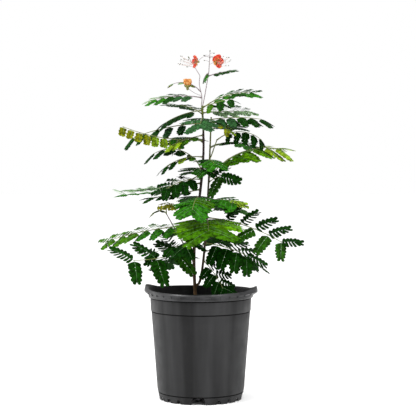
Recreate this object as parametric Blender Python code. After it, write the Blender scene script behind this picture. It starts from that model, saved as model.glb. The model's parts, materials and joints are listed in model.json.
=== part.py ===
"""Peacock flower shrub in a nursery pot: real size, metres, +Z up, the side that shows best facing -Y."""

import math
import random
from collections import namedtuple

import bmesh
import bpy
from mathutils import Matrix, Vector
from mathutils.bvhtree import BVHTree

MM = 0.001
SEED = 7
CLEARANCE = 0.3 * MM  # gap that neighbouring solids keep
UP = Vector((0, 0, 1))
FRONT = Vector((0, -1, 0))
GOLDEN_ANGLE = math.radians(137.5)

# Pot, a turned shell of one wall thickness that stands on a notched foot ring
POT_HEIGHT = 271 * MM
POT_WALL = 2.6 * MM
POT_SEGMENTS = 36
FOOT_RADIUS = 103.4 * MM
FOOT_BAND_HEIGHT = 20 * MM
FOOT_BAND_RADIUS = 106.9 * MM
BODY_FOOT_HEIGHT = 30 * MM
BODY_FOOT_RADIUS = 109.2 * MM
COLLAR_HEIGHT = 221 * MM  # the step under the collar
BODY_TOP_RADIUS = 123.6 * MM
COLLAR_STEP = 1.6 * MM
COLLAR_TOP_RADIUS = 126.4 * MM
LIP_HEIGHT = 16.5 * MM
LIP_RADIUS = 131 * MM
LIP_ROUNDING = 4 * MM
BASE_LIFT = 20 * MM  # underside of the base above the ground
BASE_THICKNESS = 2.6 * MM
EAR_RISE = 14 * MM  # each lifting ear above the lip at the front
EAR_REACH = 13.5 * MM
EAR_TURN = math.radians(-10)  # of the two ears from the pot's own left and right
EAR_SWELL = 0.25  # share of the rise that runs right round the lip to the front
EAR_ROOT = (0.5, 0.66)  # shares of the lip's height between which the ear's movement sets in
EAR_INNER_SHARE = 0.5  # of the ear's movement, that the inner side of the lip makes
EAR_HALF_ANGLE = math.radians(30)
NOTCH_TURN = math.radians(-93)  # the drain notch that faces the front
DRAIN_NOTCHES = 4
DRAIN_NOTCH = (33 * MM, 18 * MM)  # width and height
SMALL_NOTCH = (11 * MM, 9.5 * MM)
SMALL_NOTCH_TURNS = [math.radians(a) for a in (28, 45, 62)]

SOIL_LEVEL = 246 * MM
SOIL_EDGE_DROP = 6 * MM
SOIL_SEGMENTS = 24

# Limbs
STEM_SIDES = 8
STALK_SIDES = 5
RIB_SIDES = 3
STEM_STEPS = 9
STALK_STEPS = 5
FLARE_HEIGHT = 14 * MM
FLARE = 1.7  # root flare at the soil, times the stem's own radius

# Fronds, whose leaves are twice divided: a rib carries pairs of pinnae, and a pinna its leaflets
PETIOLE_SHARE = 0.27  # bare length of the rib
RIB_STEPS = 6
RIB_RADIUS = 1.5 * MM
RIB_TIP_SHARE = 0.65
PINNA_WIDTH_SHARE = 0.54
PINNA_WIDEST = 36 * MM
PINNA_THICKNESS = 1.8 * MM
PINNA_FOLD = math.radians(16)  # each half hangs below its midrib
PINNA_ROOT = 0.7 * MM  # height of a pinna's root, sunk in the rib
PAIR_STAGGER = 1.5 * MM
LONG_PINNA = 62 * MM  # from here up a pinna shows three lobes a side
SHORT_PINNA = 38 * MM  # and below this one
LOBES = {
    0: [(0.42, 0.60), (0.80, 1.0)],
    1: [(0.30, 0.88), (0.74, 0.96)],
    2: [(0.28, 0.95), (0.50, 0.55), (0.76, 0.92)],
    3: [(0.20, 0.86), (0.35, 0.58), (0.50, 1.0), (0.66, 0.58), (0.82, 0.84)],
}  # a blade's half outline as shares of its length and half width
PINNA_ROOM = 0.7 * MM  # space kept round a pinna
PINNA_ESCAPES = (0, 12, -12, 24, -24, 38)  # degrees of extra hang tried for a free place
RIB_ESCAPES = (0, 4, -4, 8, -8, 12, -12)  # degrees of extra heading tried
JITTER = 5  # degrees

Limb = namedtuple("Limb", "name parent foot top bend sway foot_radius tip_radius sides")
Frond = namedtuple(
    "Frond",
    "name limb height heading length rise droop pairs pinna hang tilt angles far_angles far_hangs",
    defaults=((72, 42), None, None),
)

# Millimetres: foot and top of each limb, whose foot is moved to the surface of the limb that bears it. A bend
# under 1 leans out early, and sway bows it like an S.
LIMBS = (
    Limb("stem_main", None, (-13, 0, 246), (3, 0, 732), 1.0, -7.5, 4.2, 2.3, STEM_SIDES),
    Limb("stem_second", "stem_main", (-9, 2, 282), (26, 10, 704), 0.4, 0, 3.2, 1.7, STEM_SIDES),
    Limb("side_shoot", "stem_main", (-20, 3, 345), (-88, 14, 464), 1.0, 0, 2.0, 1.2, STALK_SIDES),
    Limb("side_twig", "stem_second", (24, 9, 602), (40, 2, 646), 1.0, 0, 1.5, 1.1, STALK_SIDES),
    Limb("flower_stalk_left", "stem_main", (1.3, 0, 732), (-2, 0, 806), 1.0, 2.5, 1.1, 0.9, STALK_SIDES),
    Limb("flower_stalk_right", "stem_main", (4.8, 0, 732), (20, 1, 816), 0.9, 0, 1.2, 0.9, STALK_SIDES),
)

# Millimetres and degrees. Heading 0 is right, 90 back, 180 left and 270 front; rise is the rib's first slope
# and droop how far it bends down; hang lowers the pinnae; tilt turns the upper face to the front. Then, for
# the first pinnae and the last, their angles from the rib, those of the far side and how far these hang, where
# they differ.
FRONDS = (
    Frond("frond_tip_left", "flower_stalk_left", 768, 176, 76, 50, 70, 2, 22, 15, 0),
    Frond("frond_tip_right", "flower_stalk_right", 806, 2, 58, 20, 14, 3, 26, 5, 12),
    Frond("frond_tip_tuft", "flower_stalk_right", 812, 212, 18, -20, 60, 2, 15, 45, 0),
    Frond(
        "frond_top_left", "flower_stalk_left", 752, 183, 118, 9, 24, 5, 42, 14, 12, (56, 32), None, (-2, 6)
    ),
    Frond("frond_top_right", "stem_main", 727, 356, 124, 37, 39, 5, 42, 8, 18, (52, 30), None, (2, 2)),
    Frond("frond_node_right", "stem_main", 729, 326, 80, 14, 4, 2, 36, 34, 20),
    Frond("frond_upper_right", "stem_main", 714, 22, 108, 6, 6, 4, 48, 0, 24),
    Frond("frond_upper_left", "stem_main", 720, 192, 98, -6, 26, 4, 40, 16, 0),
    Frond("frond_upper_back", "stem_main", 712, 128, 120, 25, 25, 3, 45, 0, 0),
    Frond("frond_front_left", "stem_main", 700, 266, 72, 2, 30, 2, 56, 6, 0),
    Frond("frond_high_right", "stem_main", 694, 349, 146, 11, 20, 5, 48, 24, 8),
    Frond("frond_high_left", "stem_main", 688, 178, 180, -2, 20, 5, 44, 34, 0),
    Frond("frond_young_right", "stem_second", 692, 312, 62, 6, 50, 2, 32, 10, 0),
    Frond("frond_high_back_right", "stem_second", 672, 62, 130, 20, 30, 3, 50, 5, 0),
    Frond("frond_golden_left", "stem_main", 646, 182, 206, -3, -24, 8, 28, 58, 0, (96, 60)),
    Frond("frond_inner_left", "stem_main", 658, 203, 90, -10, 15, 4, 40, 15, 0),
    Frond("frond_mid_back_left", "stem_main", 640, 118, 150, 20, 35, 3, 50, 5, 0),
    Frond("frond_arch_right", "side_twig", 646, 350, 122, 40, 80, 5, 36, 60, 0, (92, 76), None, (20, 30)),
    Frond("frond_mid_back_right", "stem_second", 628, 48, 150, 20, 35, 3, 50, 5, 0),
    Frond("frond_mid_left", "stem_main", 604, 199, 100, 6, 42, 4, 38, 15, 0),
    Frond("frond_mid_front", "stem_main", 594, 292, 72, 14, 40, 3, 42, 10, 0),
    Frond("frond_mid_tuft", "stem_second", 572, 262, 42, 16, 40, 2, 36, 14, 0),
    Frond("frond_arch_left", "stem_main", 574, 178, 143, 66, 98, 5, 42, 25, 0),
    Frond(
        "frond_spread_right", "stem_second", 552, 353, 196, 56, 66, 6, 62, 26, 8, (42, 26), (60, 35), (4, 4)
    ),
    Frond("frond_sweep_left", "stem_main", 560, 186, 198, -30, -30, 6, 44, 0, 0, (60, 35), None, (-26, -20)),
    Frond(
        "frond_hanging_right", "stem_second", 542, 335, 32, 36, 20, 2, 66, 6, 60, (126, 122), (40, 12), (24, 36)
    ),
    Frond("frond_cluster_left", "stem_main", 548, 214, 104, 4, 34, 4, 48, 14, 25),
    Frond("frond_pale_left", "stem_main", 538, 166, 175, -8, -4, 4, 45, 0, 0),
    Frond("frond_centre_back", "stem_main", 496, 95, 160, 15, 35, 4, 55, 8, 0),
    Frond("frond_lower_left", "stem_main", 522, 196, 124, -12, -6, 4, 42, 10, 0),
    Frond("frond_right_back", "stem_second", 474, 62, 165, 15, 35, 4, 55, 8, 0),
    Frond("frond_centre_front", "stem_main", 500, 263, 130, 10, 42, 4, 58, 8, 0),
    Frond("frond_right_upper", "stem_second", 493, 314, 86, 16, 36, 4, 50, 8, 12),
    Frond(
        "frond_big_right", "stem_second", 452, 335, 209, -4, 24, 5, 62, 22, 34, (214, 60), (52, 24), (-34, -12)
    ),
    Frond("frond_low_back_left", "stem_main", 428, 104, 160, 10, 32, 4, 60, 8, 0),
    Frond("frond_shoot_tip", "side_shoot", 464, 188, 32, 40, 80, 2, 23, 10, 0),
    Frond("frond_shoot_side", "side_shoot", 462, 280, 60, 88, 116, 2, 28, 16, 0),
    Frond("frond_front_low", "stem_second", 448, 272, 147, 4, 26, 4, 98, 5, 0),
    Frond(
        "frond_long_low_left", "stem_main", 432, 181, 208, -2, 15, 6, 50, 10, 22, (56, 30), (60, 34), (0, 6)
    ),
    Frond("frond_low_back", "stem_second", 405, 78, 150, 12, 35, 4, 60, 8, 0),
    Frond(
        "frond_low_left", "stem_main", 372, 205, 162, -16, -16, 3, 75, 36, 36, (116, 76), (62, 34), (-18, -11)
    ),
    Frond("frond_low_mid_left", "stem_main", 384, 190, 94, 0, 20, 4, 54, 10, 36, (66, 34), (56, 30), (-8, 6)),
    Frond("frond_low_front_left", "stem_main", 398, 250, 62, 0, 26, 2, 57, 22, 0),
    Frond(
        "frond_low_right", "stem_second", 388, 342, 110, -6, 18, 4, 66, 36, 30, (104, 62), (58, 26), (-4, 14)
    ),
    Frond("frond_lowest_side", "stem_second", 368, 32, 150, 5, 35, 3, 58, 10, 0),
    Frond("frond_lowest_back", "stem_main", 350, 118, 160, 10, 35, 3, 60, 10, 0),
    Frond("frond_lowest_right", "stem_second", 343, 318, 90, -36, 20, 4, 45, 5, 30),
    Frond("frond_middle_back", "stem_main", 566, 100, 140, 18, 35, 3, 48, 5, 0),
)

# Flowers
PETALS = 5
PETAL_LENGTH = 18 * MM
PETAL_WIDTH = 14 * MM
PETAL_OPENING = 68  # degrees from the flower's axis
YOUNG_OPENING = 34
BUD_SHARE = 0.42  # a bud's breadth by its length
PEDICEL_RADIUS = 0.7 * MM
PEDICEL_STEPS = 2

Raceme = namedtuple("Raceme", "name limb top rib_radius buds spread bud_length flowers")
Flower = namedtuple("Flower", "centre heading size")

# Millimetres: the tip of the rib, then its buds, how far they stand out and their length, then open flowers
RACEMES = (
    Raceme(
        "raceme_right",
        "flower_stalk_right",
        (23, 2, 868),
        1.0,
        6,
        17,
        6,
        (Flower((-8, -12, 840), 204, 1.0), Flower((38, -8, 841), 304, 1.1)),
    ),
    Raceme("raceme_left", "flower_stalk_left", (-30, 3, 852), 0.9, 7, 26, 7, ()),
)
YOUNG_FLOWER = Flower((-33, -6, 776), 0, 1.25)
YOUNG_FLOWER_HEIGHT = 757  # where its stalk leaves the left flower stalk, millimetres

COLOURS = {
    "pot": ((0.035, 0.035, 0.036), 0.5),
    "soil": ((0.045, 0.03, 0.02), 0.95),
    "bark": ((0.10, 0.06, 0.035), 0.8),
    "stalk": ((0.13, 0.17, 0.05), 0.6),
    "leaf": ((0.02, 0.09, 0.015), 0.5),
    "flower": ((0.75, 0.07, 0.02), 0.5),
}


def clear_scene():
    for obj in list(bpy.data.objects):
        bpy.data.objects.remove(obj)


def material(name):
    found = bpy.data.materials.get(name)
    if found:
        return found
    colour, roughness = COLOURS[name]
    made = bpy.data.materials.new(name)
    made.use_nodes = True
    shader = made.node_tree.nodes["Principled BSDF"]
    shader.inputs["Base Color"].default_value = (*colour, 1)
    shader.inputs["Roughness"].default_value = roughness
    shader.inputs["Metallic"].default_value = 0
    return made


def add_object(name, shape, finish, collection=None):
    """Turns a bmesh into an object of that name."""
    mesh = bpy.data.meshes.new(name)
    shape.to_mesh(mesh)
    shape.free()
    mesh.materials.append(material(finish))
    obj = bpy.data.objects.new(name, mesh)
    (collection or bpy.context.scene.collection).objects.link(obj)
    return obj


def apply_modifiers(obj):
    graph = bpy.context.evaluated_depsgraph_get()
    mesh = bpy.data.meshes.new_from_object(obj.evaluated_get(graph))
    obj.modifiers.clear()
    obj.data = mesh


def join_with(obj, shapes, operation, finish):
    """One Boolean of all the shapes on the object, applied, with the shapes then removed.

    The exact solver leaves loose slivers here, so the manifold one does the work.
    """
    group = bpy.data.collections.new("helpers")
    bpy.context.scene.collection.children.link(group)
    for shape in shapes:
        helper = add_object("helper", shape, finish, group)
        helper.hide_render = True
        helper.display_type = "WIRE"
    cut = obj.modifiers.new("join", "BOOLEAN")
    cut.operation = operation
    cut.operand_type = "COLLECTION"
    cut.collection = group
    cut.solver = "MANIFOLD"
    bpy.context.view_layer.update()
    apply_modifiers(obj)
    for helper in list(group.objects):
        bpy.data.objects.remove(helper)
    bpy.data.collections.remove(group)
    return obj


def pot_profile():
    """Outer side from the foot up, then the lip, then the inner side down to the base, as (radius, height)."""
    lip_foot = POT_HEIGHT - LIP_HEIGHT
    outer = [
        (FOOT_RADIUS, 0),
        (FOOT_BAND_RADIUS, FOOT_BAND_HEIGHT),
        (BODY_FOOT_RADIUS, BODY_FOOT_HEIGHT),
        (BODY_TOP_RADIUS, COLLAR_HEIGHT),
        (BODY_TOP_RADIUS + COLLAR_STEP, COLLAR_HEIGHT + COLLAR_STEP),
        (COLLAR_TOP_RADIUS, lip_foot),
        (LIP_RADIUS - LIP_ROUNDING, lip_foot),
        (LIP_RADIUS, lip_foot + EAR_ROOT[0] * LIP_HEIGHT),
        (LIP_RADIUS, lip_foot + EAR_ROOT[1] * LIP_HEIGHT),
        (LIP_RADIUS - LIP_ROUNDING / 4, POT_HEIGHT - LIP_ROUNDING / 2),
        (LIP_RADIUS - LIP_ROUNDING, POT_HEIGHT),
    ]
    inner = [
        (COLLAR_TOP_RADIUS - POT_WALL, POT_HEIGHT - LIP_ROUNDING),
        (COLLAR_TOP_RADIUS - POT_WALL, lip_foot),
        (BODY_TOP_RADIUS + COLLAR_STEP - POT_WALL, COLLAR_HEIGHT),
        (BODY_FOOT_RADIUS - POT_WALL, BODY_FOOT_HEIGHT),
        (FOOT_BAND_RADIUS - POT_WALL, BASE_LIFT + BASE_THICKNESS),
        (0, BASE_LIFT + BASE_THICKNESS),
    ]
    under = [
        (0, BASE_LIFT),
        (FOOT_BAND_RADIUS - POT_WALL, BASE_LIFT),
        (FOOT_RADIUS - POT_WALL, 0),
    ]
    return outer + inner + under


def turned(profile, segments):
    """A solid of revolution round Z from a closed profile."""
    shape = bmesh.new()
    points = [shape.verts.new((radius, 0, height)) for radius, height in profile]
    edges = [shape.edges.new((a, b)) for a, b in zip(points, points[1:] + points[:1]) if a.co.x + b.co.x > 0]
    bmesh.ops.spin(
        shape, geom=edges, cent=(0, 0, 0), axis=(0, 0, 1), angle=math.tau, steps=segments, use_merge=True
    )
    bmesh.ops.remove_doubles(shape, verts=shape.verts, dist=0.01 * MM)
    bmesh.ops.recalc_face_normals(shape, faces=shape.faces)
    return shape


def raise_ears(shape):
    """Draws the lip's edge up and out at the left and the right, where the pot is lifted by it."""
    lip_foot = POT_HEIGHT - LIP_HEIGHT
    for vert in shape.verts:
        radius = vert.co.xy.length
        rise = min((vert.co.z - lip_foot) / LIP_HEIGHT, 1)
        if rise < 0.01 or radius < COLLAR_TOP_RADIUS - POT_WALL - 0.01 * MM:
            continue
        turned_by = math.atan2(vert.co.y, vert.co.x) - EAR_TURN
        from_side = math.atan2(abs(math.sin(turned_by)), abs(math.cos(turned_by)))
        peak = (1 + math.cos(math.pi * min(from_side / EAR_HALF_ANGLE, 1))) / 2
        above = max(rise - EAR_ROOT[0], 0)
        set_in = min(above / (EAR_ROOT[1] - EAR_ROOT[0]), 1)
        lift = (EAR_SWELL * math.cos(from_side) + (1 - EAR_SWELL) * peak) * set_in**2 * (3 - 2 * set_in)
        if radius < COLLAR_TOP_RADIUS - 0.01 * MM:
            lift *= EAR_INNER_SHARE
        outward = vert.co.xy.normalized() * (EAR_REACH * lift)
        vert.co += Vector((outward.x, outward.y, EAR_RISE * lift * above / (1 - EAR_ROOT[0])))


def notch(turn, size):
    """A cutter for one notch in the foot ring."""
    width, height = size
    cutter = bmesh.new()
    bmesh.ops.create_cube(cutter, size=1)
    bmesh.ops.scale(cutter, vec=(4 * EAR_REACH, width, 2 * height), verts=cutter.verts)
    bmesh.ops.translate(cutter, vec=(FOOT_RADIUS, 0, 0), verts=cutter.verts)
    bmesh.ops.rotate(cutter, cent=(0, 0, 0), matrix=Matrix.Rotation(turn, 3, "Z"), verts=cutter.verts)
    return cutter


def make_pot():
    shape = turned(pot_profile(), POT_SEGMENTS)
    raise_ears(shape)
    pot = add_object("pot", shape, "pot")
    cutters = []
    for quarter in range(DRAIN_NOTCHES):
        turn = NOTCH_TURN + quarter * math.tau / DRAIN_NOTCHES
        cutters.append(notch(turn, DRAIN_NOTCH))
        cutters += [notch(turn + small, SMALL_NOTCH) for small in SMALL_NOTCH_TURNS]
    join_with(pot, cutters, "DIFFERENCE", "pot")


def inner_radius(height):
    """Radius of the pot's inner wall at a height."""
    low, high = BODY_FOOT_HEIGHT, COLLAR_HEIGHT
    if height <= low:
        share = (height - BASE_LIFT) / (low - BASE_LIFT)
        return FOOT_BAND_RADIUS + (BODY_FOOT_RADIUS - FOOT_BAND_RADIUS) * share - POT_WALL
    if height <= high:
        share = (height - low) / (high - low)
        return BODY_FOOT_RADIUS + (BODY_TOP_RADIUS + COLLAR_STEP - BODY_FOOT_RADIUS) * share - POT_WALL
    share = (height - high) / (POT_HEIGHT - LIP_HEIGHT - high)
    return BODY_TOP_RADIUS + (COLLAR_TOP_RADIUS - BODY_TOP_RADIUS) * share + COLLAR_STEP * (1 - share) - POT_WALL


def make_soil():
    """Potting mix that fills the pot, lower at the wall than at the stem."""
    edge = SOIL_LEVEL - SOIL_EDGE_DROP
    floor = BASE_LIFT + BASE_THICKNESS + CLEARANCE
    room = 2 * CLEARANCE  # the pot's flat facets lie inside its circle
    profile = [
        (0, floor),
        (inner_radius(floor) - 2 * room, floor),
        (inner_radius(BODY_FOOT_HEIGHT) - 2 * room, BODY_FOOT_HEIGHT),
        (inner_radius(COLLAR_HEIGHT) - 2 * room, COLLAR_HEIGHT),
        (inner_radius(edge) - 2 * room, edge),
        (0.8 * inner_radius(edge), SOIL_LEVEL - SOIL_EDGE_DROP / 4),
        (0.3 * inner_radius(edge), SOIL_LEVEL),
        (0, SOIL_LEVEL),
    ]
    add_object("soil", turned(profile, SOIL_SEGMENTS), "soil")


def limb_named(name):
    return next(limb for limb in LIMBS if limb.name == name)


def limb_point(limb, share):
    """A point of the limb's centre line, share 0 at its foot and 1 at its tip."""
    foot, top = limb_foot(limb)[0] / MM, Vector(limb.top)
    out = share**limb.bend
    point = foot.lerp(top, share)
    point.x = foot.x + (top.x - foot.x) * out + limb.sway * math.sin(math.tau * share)
    point.y = foot.y + (top.y - foot.y) * out
    return point * MM


def limb_axis(limb, share):
    low, high = max(share - 0.02, 0), min(share + 0.02, 1)
    return (limb_point(limb, high) - limb_point(limb, low)).normalized()


def limb_radius(limb, share):
    radius = (limb.foot_radius + (limb.tip_radius - limb.foot_radius) * share) * MM
    if limb.parent is None:
        rise = (limb_point(limb, share).z - limb.foot[2] * MM) / FLARE_HEIGHT
        radius *= 1 + (FLARE - 1) * math.exp(-2.5 * rise)
    return radius


def limb_foot(limb):
    """The centre of the limb's foot and the way its flat end faces, just clear of what bears it."""
    if limb.parent is None:
        return Vector(limb.foot) * MM + UP * CLEARANCE, UP
    parent = limb_named(limb.parent)
    share = limb_share(parent, limb.foot[2])
    if share == 1:
        axis = limb_axis(parent, 1)
        return Vector(limb.foot) * MM + axis * CLEARANCE, axis
    side = Vector(limb.foot) * MM - limb_point(parent, share)
    return beside_limb(parent, share, side)


def beside_limb(limb, share, direction):
    """A point just clear of the limb's bark on the side of the direction, and the way out of the bark there."""
    axis = limb_axis(limb, share)
    out = (direction - direction.dot(axis) * axis).normalized()
    return limb_point(limb, share) + out * (limb_radius(limb, share) + CLEARANCE), out


def ring(shape, centre, axis, across, radius, sides):
    """A closed loop of edges round a centre, square to the axis."""
    side = (across - across.dot(axis) * axis).normalized()
    frame = Matrix((side, axis.cross(side), axis)).transposed().to_4x4()
    frame.translation = centre
    made = bmesh.ops.create_circle(shape, segments=sides, radius=radius, matrix=frame)
    return list({edge for vert in made["verts"] for edge in vert.link_edges})


def tube(points, radii, sides, across, foot_axis):
    """A tapering tube with flat ends along the points; its foot is square to an axis of its own."""
    shape = bmesh.new()
    rings = []
    for index, (point, radius) in enumerate(zip(points, radii)):
        before, after = points[max(index - 1, 0)], points[min(index + 1, len(points) - 1)]
        axis = (after - before).normalized() if index else foot_axis
        rings.append(ring(shape, point, axis, across, radius, sides))
    for lower, upper in zip(rings, rings[1:]):
        bmesh.ops.bridge_loops(shape, edges=lower + upper)
    bmesh.ops.holes_fill(shape, edges=shape.edges, sides=sides)
    bmesh.ops.recalc_face_normals(shape, faces=shape.faces)
    return shape


def limb_shape(limb):
    steps = STEM_STEPS if limb.sides == STEM_SIDES else STALK_STEPS
    shares = [step / steps for step in range(steps + 1)]
    if limb.parent is None:
        height = (limb.top[2] - limb.foot[2]) * MM
        shares[1:1] = [FLARE_HEIGHT / height * part for part in (0.35, 1.0)]
    points = [limb_point(limb, share) for share in shares]
    radii = [limb_radius(limb, share) for share in shares]
    return tube(points, radii, limb.sides, Vector((1, 0, 0)), limb_foot(limb)[1])


def limb_share(limb, height):
    """How far along the limb its centre line reaches a height, in millimetres."""
    low, high = limb.foot[2], limb.top[2]
    return min(max((height - low) / (high - low), 0), 1)


def level_direction(heading):
    return Vector((math.cos(math.radians(heading)), math.sin(math.radians(heading)), 0))


def frond_start(frond, heading):
    """Where the rib begins: just clear of the limb's side, or of its tip for a frond that ends a limb."""
    limb = limb_named(frond.limb)
    share = limb_share(limb, frond.height)
    if share == 1:
        axis = limb_axis(limb, 1)
        return limb_point(limb, 1) + axis * CLEARANCE, axis
    return beside_limb(limb, share, level_direction(heading))


def rib_line(frond, heading):
    """Points of the frond's rib, which leaves at its rise and bends down by its droop."""
    start, foot_axis = frond_start(frond, heading)
    out = level_direction(heading)
    points = [start]
    step = frond.length * MM / RIB_STEPS
    for index in range(RIB_STEPS):
        slope = math.radians(frond.rise - frond.droop * (index + 0.5) / RIB_STEPS)
        points.append(points[-1] + (out * math.cos(slope) + UP * math.sin(slope)) * step)
    return points, foot_axis


def rib_shape(points, foot_axis, length):
    radius = RIB_RADIUS * min(1, 0.75 + length / 600)
    last = len(points) - 1
    radii = [radius * (1 + (RIB_TIP_SHARE - 1) * index / last) for index in range(last + 1)]
    level = Vector((points[-1].x - points[0].x, points[-1].y - points[0].y, 0)).normalized()
    return tube(points, radii, RIB_SIDES, level.cross(UP), foot_axis)


def along_line(points, share):
    """Point and direction at a share of a line of equal steps."""
    place = min(share, 0.9999) * (len(points) - 1)
    index = int(place)
    return points[index].lerp(points[index + 1], place - index), (points[index + 1] - points[index]).normalized()


def blade(root, along, across, length, width, lobes, room=0.0):
    """One pinna as a thin lobed blade, folded along its midrib, with a thick root; room swells it all round."""
    face = along.cross(across).normalized()
    half, thick = width / 2 + room, PINNA_THICKNESS / 2 + room
    reach = length + room
    side = LOBES[lobes]
    shape = bmesh.new()

    def place(part, sideways, up):
        out = across * (half * sideways * math.cos(PINNA_FOLD))
        down = face * (abs(sideways) * width / 2 * math.sin(PINNA_FOLD))
        return shape.verts.new(root + along * (reach * part) + out - down + face * up)

    root_top, root_foot = place(0, 0, PINNA_ROOT / 2 + room), place(0, 0, -PINNA_ROOT / 2 - room)
    tip = place(1, 0, 0)
    left = [place(part, out, 0) for part, out in side]
    right = [place(part, -out, 0) for part, out in side]
    crown, belly = place(0.5, 0, thick), place(0.5, 0, -thick)
    for near in (left, right):
        chain = [*near, tip]
        shape.faces.new((root_top, root_foot, near[0]))
        for root_vert, ridge in ((root_top, crown), (root_foot, belly)):
            shape.faces.new((root_vert, near[0], ridge))
            for a, b in zip(chain, chain[1:]):
                shape.faces.new((a, b, ridge))
    bmesh.ops.recalc_face_normals(shape, faces=shape.faces)
    return shape


def pinna_frames(frond, points, rng):
    """Each pinna of the frond as (root, along, across, length), the near and far one of a pair in turn."""
    frames = []
    for pair in range(frond.pairs):
        progress = pair / (frond.pairs - 1)
        share = PETIOLE_SHARE + (0.985 - PETIOLE_SHARE) * progress
        centre, tangent = along_line(points, share)
        flat = tangent.cross(UP).normalized()
        normal = flat.cross(tangent)
        turn = math.radians(frond.tilt) * (1 if flat.dot(FRONT) >= 0 else -1)
        side = flat * math.cos(turn) - normal * math.sin(turn)
        face = side.cross(tangent)
        size = frond.pinna * MM * (0.78 + 0.22 * math.sin(math.pi * (0.2 + 0.6 * progress)))
        for hand in (1, -1):
            near = hand * flat.dot(FRONT) > 0
            first, last = frond.angles if near or frond.far_angles is None else frond.far_angles
            angle = math.radians(first + (last - first) * progress + rng.uniform(-JITTER, JITTER))
            along = tangent * math.cos(angle) + side * (hand * math.sin(angle))
            first, last = (frond.hang, frond.hang) if near or frond.far_hangs is None else frond.far_hangs
            hang = first + (last - first) * progress + rng.uniform(-JITTER, JITTER)
            root = centre + tangent * (hand * PAIR_STAGGER / 2) - along * (0.4 * MM)
            frames.append((root, along, face, hang, size * rng.uniform(0.93, 1.0)))
    return frames


def lowered(along, face, hang):
    """The pinna's own direction and its blade's sideways direction, once it hangs down by some degrees."""
    angle = math.radians(hang)
    own = (along * math.cos(angle) - UP * math.sin(angle)).normalized()
    return own, face.cross(own).normalized()


def overlaps(shape, trees):
    tree = BVHTree.FromBMesh(shape)
    return any(tree.overlap(other) for other in trees)


def grow_fronds(taken):
    """All ribs first, each turned aside until it is clear, then each frond's pinnae where they find room."""
    ribs = {}
    for frond in FRONDS:
        for escape in RIB_ESCAPES:
            heading = frond.heading + escape
            points, foot_axis = rib_line(frond, heading)
            shape = rib_shape(points, foot_axis, frond.length)
            if not overlaps(shape, taken.values()):
                break
            shape.free()
        else:
            print("no room for the rib of", frond.name)
            continue
        taken[frond.name] = BVHTree.FromBMesh(shape)
        ribs[frond.name] = (points, shape)
    rng = random.Random(SEED)
    blades = {name: [] for name in ribs}
    skipped = 0
    for frond in FRONDS:
        if frond.name not in ribs:
            continue
        others = [tree for name, tree in taken.items() if name.split("/")[0] != frond.name]
        for number, (root, along, face, hang, length) in enumerate(pinna_frames(frond, ribs[frond.name][0], rng)):
            lobes = 1 + (length > SHORT_PINNA) + (length > LONG_PINNA)
            width = min(length * PINNA_WIDTH_SHARE, PINNA_WIDEST)
            for escape in PINNA_ESCAPES:
                own, across = lowered(along, face, hang + escape)
                swollen = blade(root, own, across, length, width, lobes, PINNA_ROOM)
                free = not overlaps(swollen, others)
                if free:
                    taken[f"{frond.name}/{number}"] = BVHTree.FromBMesh(swollen)
                swollen.free()
                if free:
                    blades[frond.name].append(blade(root, own, across, length, width, lobes))
                    break
            else:
                skipped += 1
    for name, (points, rib) in ribs.items():
        obj = add_object(name, rib, "leaf")
        join_with(obj, blades[name], "UNION", "leaf")
    print("pinnae", sum(len(found) for found in blades.values()), "skipped", skipped)


def bowed_line(start, end, rise, steps):
    """Points from start to end that bow upwards by a rise at the middle."""
    points = []
    for step in range(steps + 1):
        share = step / steps
        points.append(start.lerp(end, share) + UP * (rise * math.sin(math.pi * share)))
    return points


def bud(centre, axis, length):
    """A six-sided spindle of eight faces."""
    shape = bmesh.new()
    across = axis.orthogonal().normalized() * (length * BUD_SHARE / 2)
    sides = [shape.verts.new(centre + Matrix.Rotation(turn * math.tau / 4, 3, axis) @ across) for turn in range(4)]
    ends = [shape.verts.new(centre + axis * (length * hand)) for hand in (-0.5, 0.5)]
    for end in ends:
        for a, b in zip(sides, sides[1:] + sides[:1]):
            shape.faces.new((a, b, end))
    bmesh.ops.recalc_face_normals(shape, faces=shape.faces)
    return shape


def flower_shapes(flower, opening):
    """Petals round the flower's axis, and the knob that they grow from."""
    centre = Vector(flower.centre) * MM
    axis = level_direction(flower.heading) if opening > 45 else (UP + FRONT * 0.2).normalized()
    first = axis.orthogonal().normalized()
    shapes = [bud(centre, axis, 9 * MM * flower.size)]
    for petal in range(PETALS):
        out = Matrix.Rotation(petal * math.tau / PETALS, 3, axis) @ first
        angle = math.radians(opening)
        along = axis * math.cos(angle) + out * math.sin(angle)
        across = axis.cross(out).normalized()
        width = PETAL_WIDTH * flower.size * math.sin(angle) / math.sin(math.radians(PETAL_OPENING))
        shapes.append(blade(centre + along * MM, along, across, PETAL_LENGTH * flower.size, width, 0))
    return shapes


def pedicel(start, end, rise):
    points = bowed_line(start, end, rise, PEDICEL_STEPS)
    return tube(points, [PEDICEL_RADIUS] * len(points), RIB_SIDES, FRONT, (points[1] - points[0]).normalized())


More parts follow.
